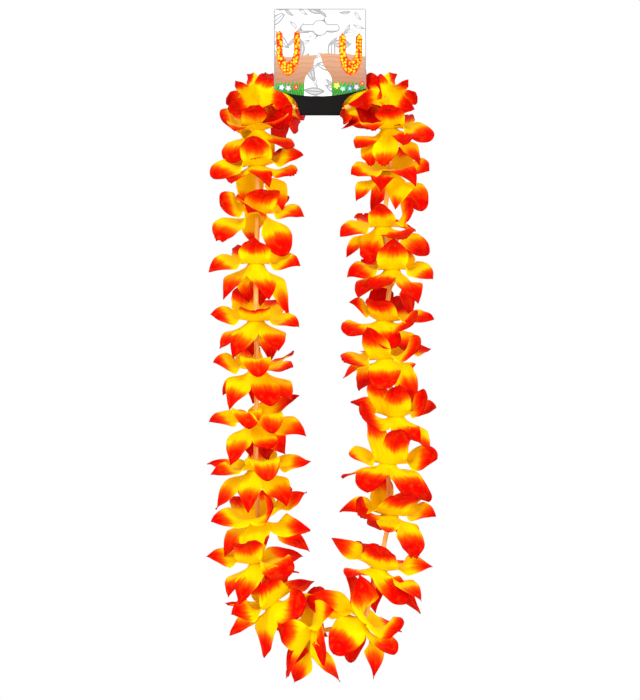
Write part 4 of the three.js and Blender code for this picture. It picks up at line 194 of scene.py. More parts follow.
  [11,1,-55.6,6.7,-455.6,-55.8,17.3,-463,-49.8,28.3,-470.8,-44.2,37.3,-481.1,0.08,0.62,0.78,21.7,0,0.23],
  [11,1,-47.9,4.1,-454.3,-39.2,12,-460,-34.5,24.2,-467,-29.8,34.2,-477.7,0.08,0.58,0.81,21.6,0,0.35],
  [11,1,-47.9,-4.1,-454.3,-37,-10.1,-458,-27.7,-12.3,-458.3,-19.2,-14.1,-464.3,0.31,0.04,0.95,25.5,0,0.53],
  [12,0,-45.2,-4.9,-492.9,-56,-12.1,-492.5,-67.7,-17.5,-493.2,-74.8,-22,-497.2,0.32,-0.77,0.55,27.7,0,0.44],
  [12,0,-38.6,-6.3,-488.3,-41.1,-14.2,-478.3,-43.2,-22.2,-469.9,-44.2,-28.7,-464.1,-0.63,0.63,0.46,24.8,2,0.34],
  [12,0,-40.1,6.9,-489.3,-44.9,16.8,-482.4,-53.9,26.2,-478.5,-59.5,33.9,-477.7,-0.28,-0.52,0.8,21.6,0,0.53],
  [12,0,-35.4,1,-486.1,-26.1,4.5,-477.8,-15.6,13.6,-472.5,-5.1,21,-470.9,-0.06,-0.44,0.89,25.3,0,0.35],
  [12,0,-46.1,3.3,-493.6,-58.1,7.9,-491.4,-70.8,13,-490.2,-79.6,17.2,-491.5,0.01,-0.07,1,24.6,2,0.52],
  [12,1,-45.8,2.8,-494.5,-55,5,-503.4,-68.7,-2.6,-507.4,-76.9,-8.8,-515.1,-0.25,-0.45,0.86,25.4,0,0.41],
  [12,1,-44.4,-5.2,-493.5,-45.5,-9.4,-505.8,-46.6,-4.2,-520.1,-45.5,0,-534.6,-0.77,-0.62,-0.13,27.2,0,0.44],
  [12,1,-37.6,-6.1,-488.9,-27.9,-14.6,-489.9,-20.4,-15.9,-488.3,-11.9,-17.1,-490.4,-0.28,-0.96,0.06,28.6,1,0.29],
  [12,1,-39.9,7,-490.4,-34.3,14.8,-499.2,-31.4,19,-507.9,-25.5,22.4,-520.2,-0.56,0.82,0.12,21.6,0,0.47],
  [12,1,-34.9,1.5,-486.9,-22.4,4.7,-485.9,-10.3,10.7,-485.8,0.9,15.5,-487.5,-0.12,0.34,0.93,25,1,0.48],
  [13,0,-8.6,-6.5,-515.9,-17.8,-15.7,-516.3,-30.4,-31.3,-511.1,-36.5,-44,-507.4,-0.8,0.59,0.05,27,0,0.38],
  [13,0,-7.2,-4.5,-508,-6,-14,-499.3,2.4,-27.8,-494.6,11.9,-39.1,-491.3,-0.86,-0.49,0.14,28.5,0,0.62],
  [13,0,-7.1,3.7,-507.5,-7.9,11.6,-497.2,-6.9,27.5,-486.2,-3.4,40.4,-477.7,-0.57,-0.44,0.69,26.1,1,0.47],
  [13,0,-9.4,0.5,-520.2,-17.5,-0.7,-530.3,-25,-8.4,-541,-29.2,-14.8,-550.2,-0.88,0.25,0.41,24,2,0.43],
  [13,0,-8.4,6.8,-515,-17.5,16.1,-515.8,-25.8,25.9,-516.9,-31.2,33.9,-518.1,-0.71,-0.52,0.48,25.2,0,0.52],
  [13,1,-8.3,1.5,-520.2,-10.3,5.2,-532.5,-18.8,14,-546.5,-22.9,21.2,-558.4,-0.67,-0.73,-0.11,27.1,0,0.5],
  [13,1,-7.3,7,-514.2,-10.3,17.5,-521.1,-22.8,8.9,-534.7,-28.9,1.9,-546.5,-0.53,-0.57,0.63,25.6,0,0.23],
  [13,1,-6.3,-5.2,-508.9,-0.6,-16.8,-507.5,0.2,-19.5,-524.9,4.2,-21.7,-539.8,-0.87,-0.5,-0.03,26,0,0.29],
  [13,1,-7.8,-6.1,-516.9,-1.6,-12.3,-526.5,6.7,-5.5,-541.8,17.8,0,-555,-0.61,-0.55,-0.57,27.2,0,0.53],
  [13,1,-6,2.8,-507.2,-0.4,12.4,-500.3,0,25.2,-510.7,6,35.7,-520.2,-0.96,0.28,0.01,28,0,0.23],
  [14,0,31.7,-1,-499.9,21.7,-2.2,-491.7,4.4,-1.5,-488.6,-10.6,-1,-487.1,0.1,-0.85,0.52,27.4,1,0.44],
  [14,0,34.6,6.3,-502.5,33.7,13.1,-491.4,29.2,5.9,-471.5,21.2,0,-459.8,0.85,-0.5,0.14,28.1,0,0.5],
  [14,0,36,-6.9,-503.7,39.1,-14.8,-493.9,36.8,-18.5,-475.9,33.1,-21.6,-463.2,0.43,-0.88,-0.19,28.5,0,0.34],
  [14,0,41.5,-3.3,-508.7,53.1,-9.1,-509.4,63.1,-16.2,-508.7,68,-22,-511.7,-0.36,-0.57,0.74,27.3,1,0.44],
  [14,0,40.6,4.9,-507.9,51,12.7,-508.5,62.4,21,-508.6,68.1,27.7,-512.8,0.37,-0.25,0.9,25,1,0.46],
  [14,1,39.4,-5.5,-508.2,45.8,-14.4,-515.2,56.4,-18.6,-522.2,62,-22,-531.2,0.44,-0.49,0.75,27.5,1,0.44],
  [14,1,41.1,2.4,-509.7,43.4,4.5,-522.3,46.6,2,-537.1,45.5,0,-553.4,0.75,-0.64,0.14,27,0,0.44],
  [14,1,33.3,-5.8,-502.7,24.5,-13.3,-508.5,20.1,-19.9,-518.3,12.8,-25.2,-530.4,0.26,-0.88,0.39,28.6,1,0.44],
  [14,1,36,7,-505.1,31,15,-514.1,29.8,17.7,-526.1,24.6,19.9,-540.6,0.64,-0.68,-0.35,24.8,1,0.23],
  [14,1,31.2,1.9,-500.8,19.4,4.4,-495.9,8.9,4.3,-490.7,-1.3,4.2,-488.3,0.36,-0.16,0.92,25,1,0.51],
  [15,0,43.7,-1.9,-457.7,34,-3.8,-449.3,21,-1.7,-439.5,9.4,0,-435.2,0.37,-0.61,0.7,28.4,0,0.47],
  [15,0,50,-7,-459.3,51,-17.8,-452.1,50.4,-30.9,-444,49.3,-41.6,-439.4,0.3,0.46,0.84,28.6,1,0.34],
  [15,0,46.5,5.8,-458.4,42.5,15.6,-450.9,39.7,28.7,-442.7,36.5,39.4,-439.4,0.36,-0.36,0.86,24.6,1,0.23],
  [15,0,56.7,-2.4,-461,68.8,-5.7,-457.9,84,-7.8,-456,95.6,-9.5,-457.3,-0.16,-0.64,0.75,25.4,0,0.53],
  [15,0,54.5,5.5,-460.4,62.8,14.9,-457,71.5,24.6,-453.9,77.6,32.6,-455.4,0.04,-0.2,0.98,26.4,0,0.49],
  [15,1,43.5,-1.9,-458.7,31.8,-7.1,-461.1,27.6,-13.7,-461.5,22.9,-19.1,-466.6,-0.05,-0.34,0.94,28.4,0,0.35],
  [15,1,49.8,-7,-460.3,52.5,-17.1,-468,64.4,-14.5,-476.9,73.1,-12.4,-487.9,0.5,-0.73,0.46,27.8,1,0.29],
  [15,1,54.2,5.5,-461.4,61.3,11.2,-470.6,74.6,5,-483.4,84.1,0,-498.9,0.56,-0.54,0.63,28,0,0.35],
  [15,1,56.4,-2.4,-461.9,66.3,-7.3,-468.9,77.7,-15.2,-475.2,85.8,-21.8,-485.3,0.37,-0.41,0.84,26.9,0,0.53],
  [15,1,46.2,5.8,-459.4,42.9,12.2,-470.2,45.7,12.3,-482.9,46.8,12.3,-498.1,0.66,-0.75,0,25.8,0,0.23],
  [16,0,53,-2.4,-412.9,41.3,-6.8,-407,28.8,-11.1,-402.7,17.4,-14.7,-412.2,0.15,-0.52,0.84,26.6,0,0.47],
  [16,0,55.2,5.5,-413.1,53.3,9.9,-401,52.3,15.3,-385.7,51,19.7,-379.1,0.41,-0.82,0.39,21.6,1,0.47],
  [16,0,59.8,-7,-413.5,62.1,-17.6,-406.4,69.2,-29.8,-399.4,74.8,-39.8,-396.1,-0.11,0.4,0.91,28.6,1,0.34],
  [16,0,66.2,-1.9,-414,78.2,-6.7,-412.5,89.2,-15.7,-410.6,97.8,-23,-415.2,-0.31,-0.47,0.83,28,0,0.5],
  [16,0,63.4,5.8,-413.8,69.9,14.4,-406.5,76.8,23.8,-399.8,82.2,31.4,-396.4,-0.13,-0.47,0.87,25.7,1,0.43],
  [16,1,52.9,-2.4,-413.9,42.3,-9.6,-411.2,37.6,-24,-407.7,33.1,-35.8,-412.2,0.73,-0.3,0.61,27.6,2,0.23],
  [16,1,59.7,-7,-414.5,59.3,-19.4,-418.3,57.7,-32.9,-419.8,56.1,-44,-425,0.06,-0.25,0.97,21.6,1,0.74],
  [16,1,66.2,-1.9,-415,72.8,-4.9,-425.8,77.3,-9.2,-437.9,80.8,-12.8,-450.5,0.57,-0.7,0.43,27.8,3,0.38],
  [16,1,55.2,5.5,-414.1,49.4,16.3,-418.6,50.6,30.2,-421,51,41.7,-429.2,0.09,0.36,0.93,21.6,1,0.2],
  [16,1,63.4,5.8,-414.8,69.2,15.2,-421.6,74.4,23.8,-428.3,78.4,30.8,-436.3,0.29,0.53,0.8,24.6,1,0.43],
  [17,0,52.8,-4.9,-369.8,50.2,-7.8,-357.4,46.1,-11.4,-341.7,42.5,-14.4,-333.2,0.76,0.54,0.36,28.6,1,0.53],
  [17,0,51.7,3.3,-369.7,39.3,4.3,-365.8,31.6,-10.2,-363.8,25.1,-22,-364.6,0.57,-0.33,0.75,27.9,0,0.62],
  [17,0,60.9,-6.3,-370.3,64.3,-14.8,-361.1,65,-29.6,-348.6,65.5,-41.8,-340,0.03,0.64,0.77,21.6,1,0.34],
  [17,0,64.7,1,-370.5,77.4,-0.1,-367.9,89.3,-10,-364.3,98.6,-18.2,-367.2,-0.51,-0.64,0.58,26.2,1,0.47],
  [17,0,59,6.9,-370.2,61.3,17.9,-363.7,63.8,31.4,-357.7,65.6,42.4,-354.9,0.14,-0.39,0.91,24.1,0,0.45],
  [17,1,53.5,-5.5,-370.8,46.9,-14.9,-376.9,42.3,-26,-382.3,38.2,-35,-392.7,-0.14,-0.54,0.83,28.4,1,0.32],
  [17,1,61.7,-5.8,-371.3,67.5,-14.1,-379.5,74.5,-21,-387.6,79.9,-26.7,-399.5,0.37,-0.62,0.69,28,1,0.32],
  [17,1,64.5,1.9,-371.5,73.8,3.9,-380.3,83.4,3.6,-390.1,91,3.3,-403.8,0.67,-0.52,0.53,27.9,1,0.47],
  [17,1,58,7,-371.1,57.3,18.7,-376.7,54,32.5,-381.9,51,43.7,-391.8,-0.04,0.48,0.88,21.6,0,0.2],
  [17,1,51.2,2.4,-370.7,39.6,6.5,-374.9,28.7,10.4,-377,19.5,13.6,-383.7,-0.35,0.05,0.94,25.7,1,0.47],
  [18,0,58,-2.4,-330.3,51.9,-6.3,-319.5,48.6,-14.9,-308.1,45.9,-22,-300.9,0.3,0.71,0.64,21.6,1,0.5],
  [18,0,60.3,5.5,-330.3,49.8,11.3,-325.2,36.4,2.3,-319.7,25.5,-5,-319.2,0.46,-0.47,0.75,26,0,0.38],
  [18,0,64.8,-7,-330.1,65,-15.7,-320.5,65.7,-26.8,-309.4,66.3,-35.9,-302.6,-0.08,0.68,0.73,23.4,0,0.34],
  [18,0,71.3,-1.9,-330,80.8,-6.6,-322.4,86.8,-15.4,-316.8,91.8,-22.5,-314.5,-0.82,-0.5,0.27,24.9,1,0.29],
  [18,0,68.5,5.8,-330,79.4,11.6,-326,89.9,-2.4,-322.1,98.6,-13.9,-323.4,-0.54,-0.38,0.75,27.3,0,0.47],
  [18,1,58.4,-3.3,-331.3,48.4,-11.4,-332.8,40.9,-29.4,-327.4,34.9,-44,-328.9,0.81,-0.33,0.49,28.6,1,0.35],
  [18,1,65.8,-6.9,-331.1,70,-16.4,-339,77.8,-20.3,-345.2,84.1,-23.5,-352.8,0.33,-0.61,0.72,27.3,0,0.29],
  [18,1,71.5,-1,-331,81,-4.2,-339.2,86.9,-11.8,-348,91.8,-18,-360.4,0.5,-0.56,0.66,24.2,0,0.56],
  [18,1,59.6,4.9,-331.3,52.9,15.4,-334.9,54.1,30.2,-336.6,55.2,42.2,-342.6,-0.03,0.26,0.97,21.6,0,0.23],
  [18,1,67.7,6.3,-331.1,71.2,15.6,-339.5,71.2,24,-348.2,71.4,30.8,-358.7,0.02,0.76,0.65,21.6,0,0.35],
  [19,0,52.6,-6.5,-281.2,48.4,-15.5,-272.8,43.1,-31.2,-261.4,39.1,-44,-254.2,0.05,0.56,0.83,23.4,0,0.34],
  [19,0,48.3,0.5,-281.6,35.5,-1.9,-281.2,27.1,-12.9,-282.6,20.4,-22,-285.6,0.23,-0.39,0.89,26,2,0.44],
  [19,0,60.5,-4.5,-280.2,68.9,-13.5,-276,76.9,-28,-271.3,84.1,-39.9,-273.7,-0.76,-0.37,0.54,27.7,1,0.44],
  [19,0,61.1,3.7,-280.2,71.4,10.3,-275.8,84,17.5,-271.6,94.8,23.4,-272.8,0.1,-0.48,0.87,26.6,0,0.47],
  [19,0,53.5,6.8,-281,50.1,18.5,-276.5,46.5,31.9,-272.2,44.1,42.9,-272.9,-0.12,-0.23,0.97,26.5,2,0.44],
  [19,1,56,-7,-281.8,56.8,-17.7,-289.1,53.8,-28.6,-296.2,51.9,-37.6,-306.8,-0.14,-0.62,0.78,28.6,1,0.35],
  [19,1,62.1,-1.5,-281.1,69.8,-1.5,-291.6,74.1,1,-303.7,78.2,3.1,-317.9,0.61,-0.78,0.11,25.8,1,0.47],
  [19,1,50.7,5.2,-282.4,44.4,13.4,-290.4,38.4,22.1,-298.1,34,29.3,-309.4,-0.48,0.49,0.73,28.2,0,0.35],
  [19,1,49,-2.8,-282.6,37.8,-7.1,-287.6,27,-8.8,-289.3,18.8,-10.1,-296.4,-0.34,-0.23,0.91,24.3,0,0.49],
  [19,1,58.8,6.1,-281.4,65.4,16.7,-285.1,71.6,27,-286.8,77,35.5,-291.5,0.09,0.25,0.96,23.1,2,0.45],
  [20,0,48.5,-1.5,-248,38.5,-5.7,-240.9,31.6,-14.7,-235.6,25.9,-22,-232.9,0.76,-0.37,0.52,22.9,0,0.41],
  [20,0,54.6,-7,-248.5,53.3,-18,-241.7,49.5,-31.2,-233.1,45.9,-42,-232,0.19,0.37,0.91,24.8,1,0.34],
  [20,0,51.8,6.1,-248.3,50.4,12.7,-237.2,52.8,20.2,-225.5,54.4,26.3,-221,-0.05,-0.79,0.61,21.6,1,0.2],
  [20,0,60,5.2,-248.9,66.2,14.1,-241.8,68.3,27.5,-233.3,69.7,38.3,-229.5,-0.01,-0.49,0.87,21.6,1,0.23],
  [20,0,61.7,-2.8,-249.1,73.2,-8.4,-246.9,86,-16.3,-244.3,96,-22.8,-248.2,-0.27,-0.42,0.87,27.6,0,0.47],
  [20,1,48.2,0.5,-249,36,-2,-252.5,28.9,-12.8,-255.6,23,-21.6,-260.9,0.12,-0.49,0.86,27.4,1,0.41],
  [20,1,52.6,-6.5,-249.3,52.2,-15.6,-258.6,58.7,-16.2,-263.7,63.8,-16.7,-272,0.42,-0.75,0.51,27.7,1,0.32],
  [20,1,60.6,-4.5,-250,69.1,-14.2,-251.4,74.3,-28.4,-249.3,78.2,-40,-251.6,-0.66,-0.28,0.7,27,1,0.32],
  [20,1,61.1,3.7,-250,69.6,6.3,-259.5,74.9,1.8,-267.5,79,-1.9,-277.1,0.56,-0.61,0.56,27.4,1,0.41],
  [20,1,53.5,6.8,-249.4,49.7,16.2,-257.6,44,24,-265.4,39.1,30.5,-275.4,-0.3,0.62,0.72,22.4,0,0.41],
  [21,0,61.4,-7,-205.2,61.5,-17,-196.9,61.3,-31.8,-185.1,61.2,-44,-181,-0.02,0.54,0.84,27.1,0,0.34],
  [21,0,54.6,-2.4,-205.3,42.8,-7.7,-204.1,31.8,-15.5,-206.6,22.9,-22,-212.1,0.14,-0.56,0.82,27.6,0,0.38],
  [21,0,67.9,-1.9,-205.1,79.8,-7,-204.1,88.3,-15.3,-208.2,95.2,-22,-214.2,-0.07,-0.54,0.84,26.8,0,0.53],
  [21,0,65.1,5.8,-205.1,69.1,13.7,-195.6,70.3,22.2,-188,71.4,29.1,-183.6,-0.16,-0.63,0.76,21.6,0,0.35],
  [21,0,56.9,5.5,-205.3,49.3,15.1,-200.8,41.5,25,-197.8,35.2,33.1,-197.2,-0.07,-0.3,0.95,23.8,0,0.46],
  [21,1,54.2,0.5,-206.3,43.8,-1.9,-213.7,37.4,-12.9,-221.6,32.3,-21.9,-229.9,-0.36,-0.46,0.81,27.2,0,0.26],
  [21,1,58.6,-6.5,-206.3,54.4,-17.5,-211.7,50.1,-29.9,-216.6,46.8,-40,-224.4,-0.17,-0.42,0.89,23.7,2,0.26],
  [21,1,66.6,-4.5,-206.1,73.5,-11.4,-214.7,78.1,-19.7,-224.8,82,-26.6,-235.4,0.37,-0.65,0.66,26,0,0.32],
  [21,1,67.1,3.7,-206.1,72.1,6.3,-217.8,74.4,6.7,-230.9,76.5,7.1,-247.3,0.76,-0.64,0.11,24.2,0,0.26],
  [21,1,59.5,6.8,-206.2,56.7,17.8,-212.6,52.6,31.8,-220.3,49.3,43.4,-231.2,-0.17,0.52,0.84,21.6,1,0.65],
  [22,0,46.7,-1.5,-168.8,34.5,-5.9,-168.8,24.8,-14.7,-172.7,17,-22,-178.1,0.08,-0.52,0.85,26.8,0,0.41],
  [22,0,50,6.1,-168.7,44.7,16.8,-163.7,40.6,30.8,-158.1,37.4,42.3,-158.9,0.05,-0.23,0.97,25.3,1,0.23],
  [22,0,52.8,-7,-168.7,51.7,-17.9,-161.7,50.8,-31.6,-154.5,50.1,-42.8,-151.3,0.01,0.42,0.91,22.5,0,0.34],
  [22,0,59.9,-2.8,-168.5,69,-8.6,-161.2,74.5,-16.5,-154.9,79,-23,-154.7,-0.82,-0.5,0.28,26.3,1,0.44],
  [22,0,58.2,5.2,-168.6,66.5,15,-166.6,75.3,26.9,-167.9,82.5,36.6,-171.3,0.49,-0.25,0.83,23.4,0,0.29],
  [22,1,57.1,-6.1,-169.6,62.9,-17.1,-173.3,67.5,-29.7,-176,71.4,-40,-181,-0.15,-0.36,0.92,28.5,2,0.26],
  [22,1,60.4,1.5,-169.5,71.2,1.9,-176.8,81.6,-2.8,-185.5,90.1,-6.6,-194.7,0.37,-0.63,0.68,28,1,0.47],
  [22,1,48.9,-5.2,-169.7,45.1,-8.7,-181.7,44.1,-7.7,-189.2,43.4,-6.8,-200.6,-0.64,-0.76,0.07,26.6,2,0.35],
  [22,1,54.3,7,-169.6,55.5,17.4,-177.3,56.7,30.8,-185.9,57.8,41.7,-198.9,0.04,0.64,0.77,21.6,1,0.59],
  [22,1,47.2,2.8,-169.8,37.8,7.1,-177.7,29.3,10.9,-185.2,22.4,14.1,-194.1,-0.51,0.46,0.72,25.1,0,0.53],
  [23,0,60.3,-7,-121.9,64.1,-19.4,-117.9,73.3,-28.6,-119.6,79.9,-36,-136.8,0.11,-0.51,0.85,27.9,0,0.34],
  [23,0,53.1,-2.8,-121.5,41.8,-9,-120.1,33.3,-16.1,-123.2,26.3,-22,-127.1,0.14,-0.52,0.84,28.2,0,0.47],
  [23,0,66.4,-1.5,-122.3,78.4,-5.9,-120.1,86.1,-13.8,-119.1,92.2,-20.3,-122,-0.42,-0.5,0.76,27.9,0,0.44],
  [23,0,54.9,5.2,-121.6,49.3,14.5,-114.4,48.1,28.3,-106.2,46.8,39.5,-103.7,0.14,-0.42,0.9,21.6,1,0.53],
  [23,0,63,6.1,-122.1,68,13.7,-112.8,73.6,22.1,-101.3,77.8,29,-97.8,-0.38,-0.55,0.74,24.7,2,0.46],
  [23,1,56.4,-6.3,-122.7,52.3,-17.4,-126.2,51.9,-30.4,-128.5,51,-41,-140.2,0.02,-0.45,0.89,21.6,0,0.26],
  [23,1,52.6,1,-122.5,41.9,-0.9,-129.8,36.3,-10.8,-137.8,31.4,-19,-148.8,-0.35,-0.57,0.75,21.6,0,0.56],
  [23,1,64.5,-4.9,-123.2,68.6,-12.7,-132.7,65.9,-21.5,-141.8,63.3,-28.6,-154.7,-0.05,-0.79,0.61,24.5,0,0.68],
  [23,1,65.6,3.3,-123.3,74.1,5.3,-133,81.1,0.3,-143.3,86.7,-3.8,-155.5,0.44,-0.73,0.51,28,1,0.44],
  [23,1,58.3,6.9,-122.8,54.9,15.1,-132.3,49.1,20.3,-144,44.2,24.6,-155.5,-0.51,0.66,0.55,21.6,0,0.35],
  [24,0,59.8,-6.9,-85.3,60.5,-18.2,-78.9,58.5,-32.4,-72.1,56.9,-44,-69.7,-0.02,0.37,0.93,24.9,2,0.34],
  [24,0,65.5,-1,-84.9,78.1,-4.4,-84.9,85.4,-10.3,-88.5,91.8,-15.1,-97.8,0.14,-0.58,0.8,27.8,1,0.41],
  [24,0,61.7,6.3,-85.2,66.4,17,-79.4,71.9,30.3,-73.3,76.5,41.1,-71.4,-0.18,-0.28,0.94,27.2,0,0.29],
  [24,0,52.5,-3.3,-85.7,43.1,-12.4,-80.7,43.7,-29.8,-78.5,45,-44,-91,-0.07,-0.17,0.98,21.6,2,0.62],
  [24,0,53.6,4.9,-85.7,46,11.5,-77.4,37.7,18,-67.9,31.2,23.4,-65.6,0.49,-0.29,0.82,26.1,2,0.41],
  [24,1,55.2,6.1,-86.6,45,11.9,-92.1,37,-4.9,-96.9,30.6,-18.6,-103.3,-0.08,-0.37,0.93,27.5,0,0.44],
  [24,1,51.8,-1.5,-86.8,45,-4.8,-97.3,43.4,-9.5,-105.1,42.5,-13.4,-117.3,-0.52,-0.74,0.43,21.7,2,0.62],
  [24,1,57.9,-7,-86.4,57.2,-14.4,-97,55.5,-18.8,-106.8,54.4,-22.4,-119,-0.38,-0.83,0.4,23.6,2,0.62],
  [24,1,65.1,-2.8,-86,73.8,-11.3,-89.1,71.4,-28.4,-94.1,69.7,-42.4,-103.7,-0.08,-0.4,0.91,21.6,0,0.26],
  [24,1,63.4,5.2,-86.1,72.5,8.3,-94.8,78.8,-2.4,-104.9,84.1,-11.2,-116.5,0.4,-0.6,0.7,21.6,0,0.53],
  [25,0,53.2,-2,-52.4,46.9,1.3,-41.5,45.5,12.2,-43.4,43.4,25.9,-44.2,-0.62,-0.18,0.77,16,1,0.12],
  [25,0,61,-0.1,-54.1,66.1,-12,-52.8,71,-28.7,-50.2,74,-37.2,-47.2,-0.23,-0.26,-0.94,11.9,0,0.34],
  [25,0,61.6,1.3,-62.2,67.8,-9.5,-65.9,75.2,-20.9,-69.1,80.8,-28.3,-71.4,-0.79,-0.58,0.2,13.5,0,0.2],
  [25,0,54.1,0.2,-65.5,54.9,-11.5,-71,56.2,-27.8,-71.8,56.9,-39.9,-72.2,0.36,-0.07,0.93,26.1,0,0.18],
  [25,0,48.9,-1.8,-59.5,43.3,-13.3,-61.6,33.7,-30.3,-63.9,25.5,-42.3,-65.5,0.86,-0.5,-0.1,18.2,0,0.14],
  [25,1,58.1,-0,-52.1,59.9,10.3,-44.3,62.6,21.9,-41,63.8,36.5,-37.4,0.9,-0.26,0.35,15.4,0,0.42],
  [25,1,62.4,2,-58.8,75.1,-0.8,-59.2,79.9,-14,-60.1,83.3,-22,-60.4,-0.83,-0.46,-0.32,13.5,1,0.28],
  [25,1,57.3,1.9,-65.2,61.7,0.5,-77.4,66,-10.6,-81.5,68.4,-14.8,-84.1,-0.32,-0.65,0.69,13.5,0,0.12],
  [25,1,49.8,-0.1,-62.4,40,-3.9,-70.2,37.4,-16,-76.7,34.9,-23.8,-81.6,0.72,-0.56,0.41,27.5,1,0.06],
  [25,1,50.3,-1.3,-54.3,44.4,9.6,-50.2,41.2,25.6,-49.3,37.4,44,-47.6,-0.86,-0.25,0.45,13.6,1,0.1],
  [26,0,35.8,-2.7,-59.1,39.2,-1.2,-46.7,32.5,21.7,-39.4,28.9,44,-33.1,-0.89,-0.32,0.33,22.8,1,0.2],
  [26,0,28.5,1.1,-58.8,20.9,7.4,-50.4,15,23.6,-50.9,12.8,42,-51,-0.95,-0.3,-0.01,21.6,0,0.2],
  [26,0,26.1,2.7,-66.5,16.4,10.4,-70.5,16.5,18.7,-72.5,18.3,28.8,-74,-0.9,-0.18,-0.4,21.6,0,0.1],
  [26,0,32,0,-71.6,29.8,6.7,-82.6,29.6,15.4,-78.9,32.3,28.2,-75.6,-0.55,-0.07,0.84,28.5,0,0.1],
  [26,0,38,-3.3,-67.1,49.9,-1.9,-72,50.2,21.4,-67.3,52.4,44,-63.2,-0.05,-0.14,0.99,23.8,0,0.3],
  [26,1,36.9,-2.1,-59.8,44.5,2,-50,41.4,6.5,-43.2,41.2,14.7,-37.4,-0.59,-0.63,0.5,21.6,0,0.02],
  [26,1,29.7,1.5,-58.3,27.3,10.9,-49.6,19.6,26.2,-44,16.1,44,-39.1,-0.89,-0.4,0.23,21.6,1,0.2],
  [26,1,26.4,3.7,-65.5,22.3,16,-65.5,19.3,29.4,-63.3,18.7,44,-61.2,-0.98,-0.18,0.09,21.6,1,0.2],
  [26,1,31.6,1.3,-71.5,34.9,11.4,-79,36.7,17,-82.4,39.9,25.2,-85,-0.37,-0.32,-0.87,28.6,0,0.1],
  [26,1,38.1,-2.2,-67.9,47.5,5.4,-72.5,49,13.2,-75.5,51.9,22.6,-77.8,-0.14,-0.28,-0.95,27.2,0,0.2],
]

# ---- camera, first of all ----
CAM_D = 3.0
FRAME_LONG = 0.595            # metres of the photograph's long side at the thread
cam_data = bpy.data.cameras.new("camera")
cam_data.sensor_width = 36.0
cam_data.lens = 36.0 * CAM_D / FRAME_LONG
cam_data.clip_start, cam_data.clip_end = 0.05, 50
cam = bpy.data.objects.new("camera", cam_data)
bpy.context.collection.objects.link(cam)
cam.location = (0.0, -CAM_D, -0.2737)
cam.rotation_euler = (math.pi / 2, 0, 0)
bpy.context.scene.camera = cam
bpy.context.scene.view_settings.view_transform = "Standard"

# ---- small helpers ----
def unit(v):
    v = np.asarray(v, float)
    return v / np.linalg.norm(v)


def rng(*key):
    return np.random.default_rng([int(k) + 1 for k in key])


def smooth(x):
    x = np.clip(x, 0, 1)
    return x * x * (3 - 2 * x)


def turn(points, axis, angle):
    """points turned about the axis through the origin; angle may be an array, one per point."""
    c, s = np.cos(angle)[..., None], np.sin(angle)[..., None]
    d = (points * axis).sum(-1, keepdims=True)
    return points * c + np.cross(axis, points) * s + axis * d * (1 - c)


def new_object(name, verts, faces, mats=(), smooth_faces=True):
    me = bpy.data.meshes.new(name)
    me.from_pydata([tuple(v) for v in verts], [], [tuple(int(i) for i in f) for f in faces])
    me.update()
    for m in mats:
        me.materials.append(m)
    if smooth_faces is True:
        me.polygons.foreach_set("use_smooth", [True] * len(me.polygons))
    elif smooth_faces is not False:
        me.polygons.foreach_set("use_smooth", [bool(x) for x in smooth_faces])
    ob = bpy.data.objects.new(name, me)
    bpy.context.collection.objects.link(ob)
    return ob


